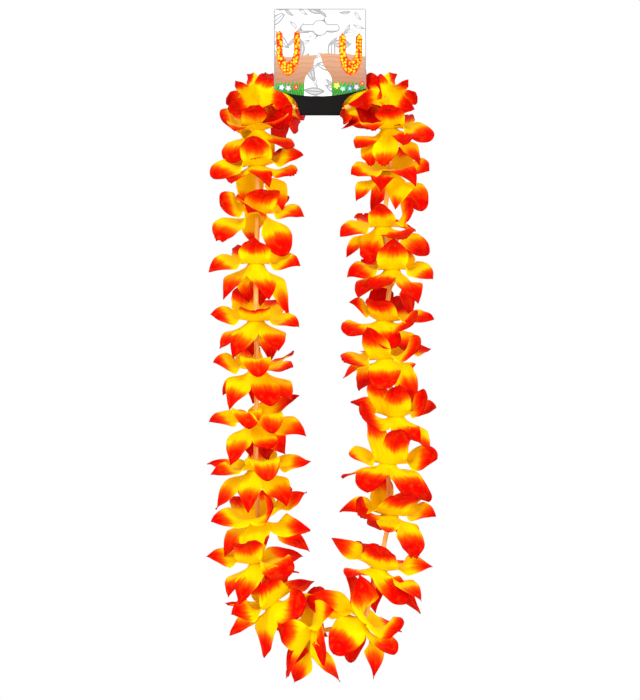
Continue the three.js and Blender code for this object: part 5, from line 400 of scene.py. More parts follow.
class Net:
    """A small builder for node trees."""

    def __init__(self, name):
        self.mat = bpy.data.materials.new(name)
        self.mat.use_nodes = True
        self.t = self.mat.node_tree
        self.t.nodes.clear()
        self.out = self.t.nodes.new("ShaderNodeOutputMaterial")
        self.bsdf = self.t.nodes.new("ShaderNodeBsdfPrincipled")
        self.t.links.new(self.bsdf.outputs[0], self.out.inputs["Surface"])

    def put(self, socket, value):
        if isinstance(value, bpy.types.NodeSocket):
            self.t.links.new(value, socket)
        elif value is not None:
            socket.default_value = value

    def node(self, kind, **kw):
        n = self.t.nodes.new(kind)
        for k, v in kw.items():
            setattr(n, k, v)
        return n

    def attr(self, name):
        n = self.node("ShaderNodeAttribute")
        n.attribute_name = name
        return n.outputs["Vector"]

    def split(self, v):
        n = self.node("ShaderNodeSeparateXYZ")
        self.put(n.inputs[0], v)
        return n.outputs[0], n.outputs[1], n.outputs[2]

    def join(self, x, y, z=0.0):
        n = self.node("ShaderNodeCombineXYZ")
        for i, v in enumerate((x, y, z)):
            self.put(n.inputs[i], v)
        return n.outputs[0]

    def m(self, op, a, b=None, c=None, clamp=False):
        n = self.node("ShaderNodeMath", operation=op, use_clamp=clamp)
        for i, v in enumerate((a, b, c)):
            if v is not None:
                self.put(n.inputs[i], v)
        return n.outputs[0]

    def add(self, a, b): return self.m("ADD", a, b)
    def sub(self, a, b): return self.m("SUBTRACT", a, b)
    def mul(self, a, b): return self.m("MULTIPLY", a, b)
    def div(self, a, b): return self.m("DIVIDE", a, b)
    def lo(self, a, b): return self.m("MINIMUM", a, b)
    def hi(self, a, b): return self.m("MAXIMUM", a, b)

    def step(self, x, a, b):
        """0 at a, 1 at b, smooth between."""
        n = self.node("ShaderNodeMapRange", interpolation_type="SMOOTHSTEP")
        self.put(n.inputs["Value"], x)
        self.put(n.inputs["From Min"], a)
        self.put(n.inputs["From Max"], b)
        if isinstance(a, (int, float)) and isinstance(b, (int, float)) and a > b:
            n.inputs["From Min"].default_value, n.inputs["From Max"].default_value = b, a
            n.inputs["To Min"].default_value, n.inputs["To Max"].default_value = 1.0, 0.0
        return n.outputs["Result"]

    def noise(self, vec, scale=1.0, detail=3.0, rough=0.55, distortion=0.0):
        n = self.node("ShaderNodeTexNoise")
        self.put(n.inputs["Vector"], vec)
        n.inputs["Scale"].default_value = scale
        n.inputs["Detail"].default_value = detail
        n.inputs["Roughness"].default_value = rough
        n.inputs["Distortion"].default_value = distortion
        return n.outputs["Fac"]

    def ramp(self, fac, stops):
        n = self.node("ShaderNodeValToRGB")
        e = n.color_ramp.elements
        while len(e) > 1:
            e.remove(e[0])
        e[0].position, e[0].color = stops[0][0], (*stops[0][1], 1)
        for p, c in stops[1:]:
            k = e.new(p)
            k.color = (*c, 1)
        self.put(n.inputs[0], fac)
        return n.outputs["Color"]

    def mix(self, fac, a, b, blend="MIX"):
        n = self.node("ShaderNodeMix", data_type="RGBA", blend_type=blend)
        self.put(n.inputs[0], fac)
        self.put(n.inputs[6], (*a, 1) if isinstance(a, tuple) and len(a) == 3 else a)
        self.put(n.inputs[7], (*b, 1) if isinstance(b, tuple) and len(b) == 3 else b)
        return n.outputs[2]

    def bump(self, height, distance, strength=1.0, normal=None):
        n = self.node("ShaderNodeBump")
        self.put(n.inputs["Height"], height)
        n.inputs["Distance"].default_value = distance
        n.inputs["Strength"].default_value = strength
        if normal is not None:
            self.put(n.inputs["Normal"], normal)
        return n.outputs[0]


def lin(r, g, b):
    """sRGB 0-255 to linear."""
    return tuple(((c / 255) / 12.92 if c / 255 <= 0.04045 else ((c / 255 + 0.055) / 1.055) ** 2.4) for c in (r, g, b))


# ---- dyed fabric ----
def make_fabric():
    n = Net("dyed_petal_fabric")
    s, t, sr = n.split(n.attr("petal"))
    x, y, pid = n.split(n.attr("cloth"))
    t2 = n.mul(t, t)
    # the dye creeps along the threads, so its front is streaked and uneven
    streak = n.noise(n.join(n.mul(t, 9.0), n.mul(s, 1.7), pid), 1.0, 4.0, 0.62)
    broad = n.noise(n.join(n.mul(s, 2.3), n.mul(t, 1.6), n.mul(pid, 1.7)), 1.0, 2.0, 0.5)
    r = n.sub(s, sr)
    r = n.sub(r, n.mul(t2, 0.11))
    r = n.add(r, n.mul(n.sub(streak, 0.5), 0.20))
    r = n.add(r, n.mul(n.sub(broad, 0.5), 0.20))
    r = n.add(r, 0.105)
    r = n.div(r, 0.42)
    col = n.ramp(r, [
        (0.00, lin(255, 222, 0)), (0.22, lin(255, 214, 0)), (0.36, lin(255, 160, 0)),
        (0.50, lin(255, 96, 0)), (0.66, lin(255, 56, 0)), (0.82, lin(246, 22, 0)), (1.00, lin(222, 2, 0))])
    # deeper patches where more dye was taken up
    patch = n.noise(n.join(n.mul(x, 0.16), n.mul(y, 0.16), pid), 1.0, 3.0, 0.5)
    col = n.mix(n.mul(n.step(r, 0.8, 1.6), n.mul(n.step(patch, 0.35, 0.80), 0.55)), col, lin(188, 0, 0))
    grain = n.noise(n.join(n.mul(x, 1.5), n.mul(y, 1.5), pid), 1.0, 3.0, 0.65)
    col = n.mix(n.mul(n.step(r, 0.35, 0.9), n.mul(n.step(grain, 0.50, 0.78), 0.35)), col, lin(206, 8, 0))
    # a pale amber tone in the yellow
    col = n.mix(n.mul(n.step(patch, 0.45, 0.75), 0.12), col, n.mix(0.5, col, lin(255, 196, 0)))
    # heat-sealed edge, a little darker and redder
    edge = n.hi(n.step(n.m("ABSOLUTE", t), 0.90, 1.0), n.step(s, 0.955, 1.0))
    edge = n.mul(edge, n.step(r, 0.1, 0.7))
    col = n.mix(n.mul(edge, 0.60), col, lin(140, 3, 2))
    # pressed veins in the bump; the middle crease is also painted a little darker and browner, a painted shade in the
    # crease
    fan = n.add(n.mul(t, n.add(0.5, n.mul(s, 0.5))), n.mul(n.sub(streak, 0.5), 0.05))
    wave = n.m("SINE", n.mul(fan, 21.0))
    vein = n.m("POWER", n.m("ABSOLUTE", wave), 6.0)
    # painted shade: mask of the darker band along the middle crease
    mid = n.step(n.m("ABSOLUTE", t), 0.055, 0.0)
    col = n.mix(n.mul(mid, 0.16), col, n.mix(1.0, col, (0.80, 0.62, 0.6), "MULTIPLY"))
    n.put(n.bsdf.inputs["Base Color"], col)
    # weave
    wx = n.m("SINE", n.mul(x, 9.5))
    wy = n.m("SINE", n.mul(y, 9.5))
    weave = n.mul(n.add(n.mul(wx, wy), 1.0), 0.5)
    h = n.add(n.mul(weave, 0.30), n.mul(vein, 0.55))
    fine = n.noise(n.join(x, y, pid), 0.55, 4.0, 0.6)
    h = n.add(h, n.mul(fine, 0.9))
    n.put(n.bsdf.inputs["Normal"], n.bump(h, 0.00016, 0.7))
    rough = n.add(0.66, n.mul(weave, 0.12))
    n.put(n.bsdf.inputs["Roughness"], rough)
    b = n.bsdf.inputs
    b["Specular IOR Level"].default_value = 0.03
    b["Sheen Weight"].default_value = 0.02
    b["Sheen Roughness"].default_value = 0.45
    b["Sheen Tint"].default_value = (1.0, 0.72, 0.30, 1.0)
    # thin cloth lets some light through
    tr = n.node("ShaderNodeBsdfTranslucent")
    n.put(tr.inputs["Color"], col)
    mx = n.node("ShaderNodeMixShader")
    mx.inputs[0].default_value = 0.24
    n.t.links.new(n.bsdf.outputs[0], mx.inputs[1])
    n.t.links.new(tr.outputs[0], mx.inputs[2])
    n.t.links.new(mx.outputs[0], n.out.inputs["Surface"])
    return n.mat


# ---- one fabric layer: a centre with a thread hole and five petals, cut from one sheet ----
NS, NT = 30, 15                # rows along a petal, columns across it
HUB_HOLE, R_START = 0.52, 7.0
CLOTH_T = 0.28
_x = np.linspace(0, 1, NS)
S_ROW = 0.45 * _x + 0.55 * np.sin(_x * math.pi / 2)
T_COL = np.linspace(-1, 1, NT)
ROW_NOTCH = int(np.searchsorted(S_ROW, 0.25))     # the petals are one sheet up to here
RINGS = [HUB_HOLE, 2.4, 4.6]


def half_width(s, tip):
    b = 0.39 + 0.61 * np.sin(np.minimum(1, s / 0.34) * math.pi / 2)
    u = np.maximum(0, (s - 0.5) / 0.5)
    if tip == 1:
        e = np.sqrt(np.maximum(0, 1 - u ** 2.1))
        e = np.maximum(e, 0.08)
    elif tip > 1:
        e = np.maximum(0, 1 - u ** 2.6) ** 0.55
        e = np.maximum(e, 0.42)
    else:
        e = np.maximum(0, 1 - np.maximum(0, (s - 0.40) / 0.60) ** 1.60)
        e = np.maximum(e, 0.03)
    return b * e


def petal_grid(row, k):
    """Points of a petal's middle surface, NS x NT, in millimetres."""
    A = unit(FLOWERS[row[0]][1])
    P = np.array(row[2:14], float).reshape(4, 3)
    Nm, width, tip = np.array(row[14:17], float), row[17], row[18]
    r = rng(row[0], row[1], k)
    s = S_ROW[:, None]
    C = (1 - s) ** 3 * P[0] + 3 * (1 - s) ** 2 * s * P[1] + 3 * (1 - s) * s * s * P[2] + s ** 3 * P[3]
    T = 3 * (1 - s) ** 2 * (P[1] - P[0]) + 6 * (1 - s) * s * (P[2] - P[1]) + 3 * s * s * (P[3] - P[2])
    T /= np.linalg.norm(T, axis=1, keepdims=True)
    N0 = unit(A - T[0] * np.dot(T[0], A))
    kk = smooth(S_ROW / 0.5)[:, None]
    N = (1 - kk) * N0 + kk * Nm
    N -= T * (N * T).sum(1, keepdims=True)
    N /= np.linalg.norm(N, axis=1, keepdims=True)
    W = np.cross(N, T)
    hw = 0.5 * width * half_width(S_ROW, tip)
    # the two sides are never quite alike
    wob = [r.uniform(0, 6.28) for _ in range(6)]
    side = np.where(T_COL[None, :] < 0, 0, 1)
    ragged = 0.030 * np.sin(S_ROW[:, None] * 9 + np.where(side, wob[0], wob[1])) + 0.016 * np.sin(S_ROW[:, None] * 23 + np.where(side, wob[2], wob[3]))
    lat = hw[:, None] * T_COL[None, :] * (1 + ragged * smooth((S_ROW[:, None] - 0.2) / 0.3))
    cup = 0.10 + r.uniform(-0.06, 0.16)
    h = cup * hw[:, None] * (T_COL[None, :] ** 2 - 0.33)
    out = smooth((S_ROW - 0.25) / 0.6)[:, None]
    # ruffled edges, a pressed middle crease and a lazy wave along the petal
    amp = r.uniform(0.5, 1.3)
    ph = np.where(side, wob[4], wob[5])
    h = h + amp * out * np.abs(T_COL[None, :]) ** 2.2 * np.sin(S_ROW[:, None] * r.uniform(7, 11) + ph)
    h = h + r.uniform(0.15, 0.6) * np.sin(S_ROW[:, None] * math.pi * r.uniform(1.6, 2.6) + wob[0]) * out
    h = h - 0.55 * np.exp(-(T_COL[None, :] / 0.13) ** 2) * np.sin(np.minimum(1, S_ROW[:, None] * 1.15) * math.pi)
    # lengthwise folds that fade out towards the tip
    h = h + 0.22 * np.cos(T_COL[None, :] * 9.0 + wob[1]) * (1 - smooth((S_ROW[:, None] - 0.35) / 0.5)) * smooth(S_ROW[:, None] / 0.15)
    # the very tip curls
    curl = r.uniform(-1.2, 2.2)
    h = h + curl * smooth((S_ROW[:, None] - 0.78) / 0.22) ** 2
    X = C[:, None, :] + W[:, None, :] * lat[..., None] + N[:, None, :] * h[..., None]
    # ragged or notched end
    if tip > 1:
        end = smooth((S_ROW - 0.70) / 0.30)[:, None]
        cut = -2.6 * T_COL[None, :] ** 2 + 0.7 * np.sin(T_COL[None, :] * 11 + wob[2]) + 0.4 * np.sin(T_COL[None, :] * 23 + wob[3])
        if tip == 3:
            cut = cut - 2.8 * np.exp(-((T_COL[None, :] - r.uniform(-0.25, 0.25)) / 0.22) ** 2)
        X = X + T[:, None, :] * (cut * end)[..., None]
    return X


def area_of(V, F):
    a = V[F[:, 2]] - V[F[:, 0]]
    b = V[F[:, 3]] - V[F[:, 1]]
    return 0.5 * np.linalg.norm(np.cross(a, b), axis=1).sum()


def behind_card(q):
    """Points (mm) in front of the board, or within its outline, eased back behind it."""
    half = np.interp(q[..., 2], [-74.4, -70.0, -64.0, -58.6, -55.0, -52.7], [17.2, 18.5, 20.0, 24.5, 31.0, 39.0])
    out = np.abs(q[..., 0]) - half - 0.8
    out = np.maximum(out, -74.4 - 0.8 - q[..., 2])
    out = np.maximum(out, 0)
    back = -0.9 + 3.5 * smooth((20.0 - np.abs(q[..., 0])) / 3.0) * smooth((-51.5 - q[..., 2]) / 3.0)
    limit = back - 0.9 * out
    q = q.copy()
    q[..., 1] = np.where(out < 12, np.maximum(q[..., 1], limit), q[..., 1])
    return q


def layer_object(f, layer, mat):
    hub = np.array(FLOWERS[f][0], float)
    A = unit(FLOWERS[f][1])
    sg = 0.17 if layer == 0 else -0.17
    rows = [r for r in PETALS if r[0] == f and r[1] == layer]
    base = [np.array(r[2:5], float) - hub for r in rows]
    u1 = unit(base[0] - A * np.dot(base[0], A))
    u2 = np.cross(A, u1)
    phi = [math.atan2(np.dot(b, u2), np.dot(b, u1)) % (2 * math.pi) for b in base]
    order = np.argsort(phi)
    rows, phi = [rows[i] for i in order], [phi[i] for i in order]
    n = len(rows)
    grids, bounds_ang = [], []
    for j in range(n):
        nxt = phi[(j + 1) % n] + (2 * math.pi if j + 1 == n else 0)
        bounds_ang.append((phi[j] + nxt) / 2)
    for j in range(n):
        X = petal_grid(rows[j], int(order[j])) - hub
        right = bounds_ang[j] - phi[j]
        left = phi[j] - (bounds_ang[j - 1] - (2 * math.pi if j == 0 else 0))
        ang = np.where(T_COL > 0, T_COL * right, T_COL * left)
        # the middle line turned about the axis: a shallow cone that the centre is pressed to
        mid = X[:, NT // 2, :]
        cone = turn(np.repeat(mid[:, None, :], NT, 1), A, np.repeat(ang[None, :], NS, 0))
        w = (1 - smooth(S_ROW / 0.38))[:, None, None]
        X = X * (1 - w) + cone * w
        # exact circle at the start of the petal
        ring = R_START * (np.cos(phi[j] + ang)[:, None] * u1 + np.sin(phi[j] + ang)[:, None] * u2) + sg * A
        X[0] = ring
        grids.append(X)
    fade = np.where(np.arange(NS) <= ROW_NOTCH, 1.0, 1 - smooth((S_ROW - S_ROW[ROW_NOTCH]) / 0.22))
    left_fix, right_fix = [None] * n, [None] * n
    for j in range(n):
        k = (j + 1) % n
        mid = (grids[j][:, -1] + grids[k][:, 0]) / 2
        # the sheet between two petals dips a little into the notch
        right_fix[j] = (mid - grids[j][:, -1]) * fade[:, None]
        left_fix[k] = (mid - grids[k][:, 0]) * fade[:, None]
    prof = np.clip(T_COL, 0, 1) ** 1.8
    for j in range(n):
        grids[j] = grids[j] + right_fix[j][:, None, :] * prof[None, :, None] + left_fix[j][:, None, :] * prof[::-1][None, :, None]
    if f in (0, 1, 25, 26):
        grids = [behind_card(g + hub) - hub for g in grids]
    verts, ids = [], []
    def put(p):
        verts.append(p)
        return len(verts) - 1
    # centre rings, one column per petal column, the last column shared with the next petal
    cols = n * (NT - 1)
    ring_ids = []
    for rad in RINGS:
        line = []
        for j in range(n):
            right = bounds_ang[j] - phi[j]
            left = phi[j] - (bounds_ang[j - 1] - (2 * math.pi if j == 0 else 0))
            for c in range(NT - 1):
                a = phi[j] + (T_COL[c] * right if T_COL[c] > 0 else T_COL[c] * left)
                lift = sg + 0.12 * math.cos(a * 10) * (rad / R_START)
                line.append(put(rad * (math.cos(a) * u1 + math.sin(a) * u2) + lift * A))
        ring_ids.append(line)
    for j in range(n):
        ids.append(np.full((NS, NT), -1, int))
    for j in range(n):
        for i in range(NS):
            for c in range(NT):
                if c == 0 and i <= ROW_NOTCH and j > 0:
                    ids[j][i, 0] = ids[j - 1][i, NT - 1]
                elif c == NT - 1 and i <= ROW_NOTCH and j == n - 1:
                    ids[j][i, c] = ids[0][i, 0]
                else:
                    ids[j][i, c] = put(grids[j][i, c])
    faces, st, cloth = [], [], []
    def quad(a, b, c, d, S, Tt, j):
        faces.append((a, b, c, d))
        sr = rows[j][19]
        st.extend([(S[0], Tt[0], sr), (S[0], Tt[1], sr), (S[1], Tt[1], sr), (S[1], Tt[0], sr)])
        pid = (f * 10 + layer * 5 + j) * 0.731
        for ss, tt in ((S[0], Tt[0]), (S[0], Tt[1]), (S[1], Tt[1]), (S[1], Tt[0])):
            cloth.append((tt * 13.5, ss * 40.0, pid))
    for ri in range(len(RINGS)):
        inner = ring_ids[ri]
        for j in range(n):
            for c in range(NT - 1):
                q = j * (NT - 1) + c
                a, b = inner[q], inner[(q + 1) % cols]
                if ri + 1 < len(RINGS):
                    d, e = ring_ids[ri + 1][q], ring_ids[ri + 1][(q + 1) % cols]
                    s1 = (RINGS[ri + 1] - R_START) / 40
                else:
                    d, e = ids[j][0, c], ids[j][0, c + 1]
                    s1 = 0.0
                s0 = (RINGS[ri] - R_START) / 40
                quad(a, b, e, d, (s0, s1), (T_COL[c], T_COL[c + 1]), j)
    for j in range(n):
        for i in range(NS - 1):
            for c in range(NT - 1):
                quad(ids[j][i, c], ids[j][i, c + 1], ids[j][i + 1, c + 1], ids[j][i + 1, c],
                     (S_ROW[i], S_ROW[i + 1]), (T_COL[c], T_COL[c + 1]), j)
    V, F = np.array(verts), np.array(faces)
    area = area_of(V, F)
    # thickness
    d1, d2 = V[F[:, 2]] - V[F[:, 0]], V[F[:, 3]] - V[F[:, 1]]
    fn = np.cross(d1, d2)
    vn = np.zeros_like(V)
    for c in range(4):
        np.add.at(vn, F[:, c], fn)
    vn /= np.maximum(1e-9, np.linalg.norm(vn, axis=1, keepdims=True))
    if (vn * A).sum() < 0:
        pass
    nv = len(V)
    top, bot = V + vn * CLOTH_T / 2, V - vn * CLOTH_T / 2
    st, cloth = np.array(st).reshape(-1, 4, 3), np.array(cloth).reshape(-1, 4, 3)
    edges = {}
    for fi, q in enumerate(faces):
        for c in range(4):
            a, b = q[c], q[(c + 1) % 4]
            edges.setdefault((min(a, b), max(a, b)), []).append((fi, c, a, b))
    rim, rim_st, rim_cl = [], [], []
    for e in edges.values():
        if len(e) == 1:
            fi, c, a, b = e[0]
            rim.append((b, a, a + nv, b + nv))
            p, q = st[fi, c], st[fi, (c + 1) % 4]
            rim_st.append([q, p, p, q])
            p, q = cloth[fi, c], cloth[fi, (c + 1) % 4]
            rim_cl.append([q, p, p, q])
    allf = [tuple(q) for q in faces] + [tuple(v + nv for v in q[::-1]) for q in faces] + rim
    all_st = np.concatenate([st, st[:, ::-1], np.array(rim_st)])
    all_cl = np.concatenate([cloth, cloth[:, ::-1], np.array(rim_cl)])
    flags = [True] * (2 * len(faces)) + [False] * len(rim)
    P = (np.concatenate([top, bot]) + hub) * MM
    name = "flower_%02d_%s_fabric" % (f + 1, "upper" if layer == 0 else "lower")
    ob = new_object(name, P, allf, [mat], flags)
    for key, arr in (("petal", all_st), ("cloth", all_cl)):
        a = ob.data.attributes.new(key, "FLOAT_VECTOR", "CORNER")
        a.data.foreach_set("vector", arr.reshape(-1).astype(np.float32))
    uv = ob.data.uv_layers.new(name="UVMap")
    cell = all_st.reshape(-1, 3)[:, :2]
    flat = np.stack([cell[:, 1] * 0.45 + 0.5, cell[:, 0] * 0.8 + 0.18], 1)
    uv.data.foreach_set("uv", flat.reshape(-1).astype(np.float32))
    return ob, area * 1e-6


fabric = make_fabric()
AREAS = []
for f in range(len(FLOWERS)):
    for layer in (0, 1):
        ob, area = layer_object(f, layer, fabric)
        AREAS.append(area)
        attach(ob, "root")
        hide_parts("flower_%02d" % (f + 1))
print("layer areas", min(AREAS), max(AREAS))

# ---- spacer tubes ----
def make_tube_plastic():
    n = Net("translucent_tube_plastic")
    c = n.node("ShaderNodeTexCoord").outputs["Object"]
    cloud = n.noise(c, 180.0, 3.0, 0.5)
    col = n.ramp(cloud, [(0.25, lin(255, 222, 120)), (0.55, lin(255, 210, 104)), (0.8, lin(255, 196, 90))])
    lines = n.noise(n.attr("cloth"), 1.0, 3.0, 0.6)
    col = n.mix(n.mul(n.step(lines, 0.5, 0.75), 0.35), col, lin(255, 238, 160))
    n.put(n.bsdf.inputs["Base Color"], col)
    n.put(n.bsdf.inputs["Normal"], n.bump(lines, 0.00005, 0.5))
    b = n.bsdf.inputs
    b["Roughness"].default_value = 0.30
    b["IOR"].default_value = 1.49
    b["Specular IOR Level"].default_value = 0.5
    b["Coat Weight"].default_value = 0.15
    b["Coat Roughness"].default_value = 0.2
    tr = n.node("ShaderNodeBsdfTranslucent")
    n.put(tr.inputs["Color"], col)
    mx = n.node("ShaderNodeMixShader")
    mx.inputs[0].default_value = 0.45
    n.t.links.new(n.bsdf.outputs[0], mx.inputs[1])
    n.t.links.new(tr.outputs[0], mx.inputs[2])
    n.t.links.new(mx.outputs[0], n.out.inputs["Surface"])
    return n.mat


def tube_object(index, mat):
    """A smooth tube with rolled, slightly slanting cut ends, along the solid tube's axis."""
    node = "spacer_tube_%02d" % index
    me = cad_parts[node].data
    V = np.array([v.co[:] for v in me.vertices])
    c = V.mean(0)
    _, _, vt = np.linalg.svd(V - c)
    best = None
    for d in vt:            # the axis is the direction in which the points lie on two flat ends
        h = (V - c) @ d
        spread = min(np.abs(np.abs(h) - np.abs(h).max()).max(), 1)
        if best is None or spread < best[0]:
            best = (spread, d, np.abs(h).max())
    d, half = best[1], best[2]
    if d[2] < 0:
        d = -d
    a = unit(np.cross(d, (0, 1, 0.01)))
    b = np.cross(d, a)
    r = rng(91, index)
    seg, ro, ri = 40, 0.00198, 0.00150
    slant = [r.uniform(-0.05, 0.05) for _ in range(4)]
    L = half * 2
    steps = max(6, int(L / 0.003))
    prof = []       # (radius, height from -1 to 1 as end-rel metres)
    lip = 0.00014
    def ring_pts(rad, h, k0):
        out = []
        for i in range(seg):
            th = 2 * math.pi * i / seg
            hh = h
            w = (h / half)
            tilt = (slant[0] * math.cos(th) + slant[1] * math.sin(th)) if w < 0 else (slant[2] * math.cos(th) + slant[3] * math.sin(th))
            hh = h - math.copysign(1, h) * abs(tilt) * rad * smooth(abs(w)) if abs(w) > 0.6 else h
            oval = 1 + 0.012 * math.cos(2 * th + 5 * w)
            out.append(c + d * hh + (a * math.cos(th) + b * math.sin(th)) * rad * oval)
        return out
    hs = np.linspace(-half + lip, half - lip, steps)
    rings = [ring_pts(ro, h, 0) for h in hs]
    rings.append(ring_pts(ro - lip * 0.4, half - lip * 0.25, 0))
    rings.append(ring_pts(ro - lip * 1.4, half, 0))
    rings.append(ring_pts(ri + lip * 1.2, half, 0))
    rings.append(ring_pts(ri, half - lip * 0.8, 0))
    rings += [ring_pts(ri, h, 0) for h in hs[::-1]]
    rings.append(ring_pts(ri, -half + lip * 0.8, 0))
    rings.append(ring_pts(ri + lip * 1.2, -half, 0))
    rings.append(ring_pts(ro - lip * 1.4, -half, 0))
    rings.append(ring_pts(ro - lip * 0.4, -half + lip * 0.25, 0))
    P = np.array(rings).reshape(-1, 3)
    m = len(rings)
    faces, cl = [], []
    for k in range(m):
        for i in range(seg):
            k2, i2 = (k + 1) % m, (i + 1) % seg
            faces.append((k * seg + i, k * seg + i2, k2 * seg + i2, k2 * seg + i))
            for kk, ii in ((k, i), (k, i + 1), (k + 1, i + 1), (k + 1, i)):
                cl.append((math.cos(2 * math.pi * ii / seg) * 5 + index, math.sin(2 * math.pi * ii / seg) * 5, kk * 0.05))
    ob = new_object("tube_%02d_plastic" % index, P, faces, [mat])
    at = ob.data.attributes.new("cloth", "FLOAT_VECTOR", "CORNER")
    at.data.foreach_set("vector", np.array(cl, np.float32).reshape(-1))
    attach(ob, "root")
    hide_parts(node)
    return ob


tube_mat = make_tube_plastic()
for i in range(1, 29):
    tube_object(i, tube_mat)


# ---- stringing thread ----
def make_thread_mat():
    n = Net("cotton_thread")
    c = n.node("ShaderNodeTexCoord").outputs["Object"]
    fuzz = n.noise(c, 2600.0, 3.0, 0.6)
    tone = n.noise(c, 300.0, 2.0, 0.5)
    col = n.ramp(tone, [(0.3, lin(255, 182, 0)), (0.7, lin(255, 196, 2))])
    col = n.mix(n.mul(n.step(fuzz, 0.55, 0.8), 0.3), col, lin(236, 166, 6))
    n.put(n.bsdf.inputs["Base Color"], col)
    n.put(n.bsdf.inputs["Normal"], n.bump(fuzz, 0.00008, 0.6))
    n.bsdf.inputs["Roughness"].default_value = 0.85
    n.bsdf.inputs["Specular IOR Level"].default_value = 0.04
    return n.mat


HUB_HALF, TAB_HALF, SLEEVE_Z = 1.3, 17.2, -68.9
PORT = HUB_HALF + 0.4


def thread_route():
    pts = [np.array([4.6, 0, SLEEVE_Z]), np.array([-TAB_HALF, 0, SLEEVE_Z])]
    pts[0] = np.array([3.4, 0, SLEEVE_Z])
    prev = pts[1]
    for hub, ax in FLOWERS:
        hub, ax = np.array(hub, float), unit(ax)
        s = np.sign(np.dot(ax, prev - hub))
        port = PORT + (1.2 if abs(ax[1]) > 0.5 else 0.0)
        pts += [hub + ax * s * port, hub - ax * s * port]
        prev = hub
    pts += [np.array([TAB_HALF, 0, SLEEVE_Z]), np.array([4.6, 0, SLEEVE_Z])]
    return np.array(pts)


def sweep(points, radius, twist_per_mm, lobes, seg, depth, closed=False):
    """A twisted, lobed strand along points (mm)."""
    P = np.asarray(points)
    T = np.gradient(P, axis=0)
    T /= np.linalg.norm(T, axis=1, keepdims=True)
    ref = np.array([0.0, 1.0, 0.0])
    if abs(T[0][1]) > 0.9:
        ref = np.array([1.0, 0, 0])
    a = unit(np.cross(T[0], ref))
    A = [a]
    for i in range(1, len(P)):
        a = a - T[i] * np.dot(a, T[i])
        a = unit(a)
        A.append(a)
    A = np.array(A)
    B = np.cross(T, A)
    d = np.concatenate([[0], np.cumsum(np.linalg.norm(np.diff(P, axis=0), axis=1))])
    th = np.linspace(0, 2 * math.pi, seg, endpoint=False)
    rad = radius * (1 - depth + depth * np.cos(lobes * (th[None, :] - twist_per_mm * d[:, None])))
    V = P[:, None, :] + (A[:, None, :] * np.cos(th)[None, :, None] + B[:, None, :] * np.sin(th)[None, :, None]) * rad[..., None]
    n = len(P)
    F = []
    for i in range(n - 1):
        for k in range(seg):
            k2 = (k + 1) % seg
            F.append((i * seg + k, i * seg + k2, (i + 1) * seg + k2, (i + 1) * seg + k))
    V = V.reshape(-1, 3)
    F.append(tuple(range(seg))[::-1])
    F.append(tuple((n - 1) * seg + k for k in range(seg)))
    return V, F


def resample(points, step):
    P = np.asarray(points, float)
    d = np.concatenate([[0], np.cumsum(np.linalg.norm(np.diff(P, axis=0), axis=1))])
    u = np.linspace(0, d[-1], max(2, int(d[-1] / step)))
    return np.stack([np.interp(u, d, P[:, k]) for k in range(3)], 1)


def thread_object(mat):
    route = resample(thread_route(), 0.4)
    k = np.array([0.25, 0.5, 0.25])
    for _ in range(2):
        route[1:-1] = route[:-2] * k[0] + route[1:-1] * k[1] + route[2:] * k[2]
    V, F = sweep(route, 0.46, 1.15, 3, 9, 0.14)
    parts_v, parts_f = [V], [list(f) for f in F]
    # the knot that joins the two ends, inside the sleeve
    u = np.linspace(0, 2 * math.pi, 90)
    kn = np.stack([0.62 * (np.sin(u) + 2 * np.sin(2 * u)) * 0.9, 0.42 * (np.cos(u) - 2 * np.cos(2 * u)) * 0.62, -0.42 * np.sin(3 * u)], 1)
    kn = kn * 0.36 + np.array([4.0, 0, SLEEVE_Z])
    V2, F2 = sweep(kn, 0.38, 1.15, 3, 8, 0.12)
    off = len(V)
    parts_v.append(V2)
    parts_f += [[i + off for i in f] for f in F2]
    ob = new_object("thread_twisted", np.concatenate(parts_v) * MM, parts_f, [mat])
    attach(ob, "root")
    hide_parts("stringing_thread")
    return ob


thread_object(make_thread_mat())

# ---- header card ----
CARD_HALF, CARD_TOP, CARD_SHOULDER, CARD_FOLD = 39.0, 16.2, -52.7, -74.4
CARD_T, SLEEVE_IN = 0.5, 1.4
CARD_Y = -(SLEEVE_IN + CARD_T)
FOLD_Z = CARD_FOLD + SLEEVE_IN + CARD_T
SLOT_W, SLOT_H, SLOT_R = 32.0, 5.0, 6.1


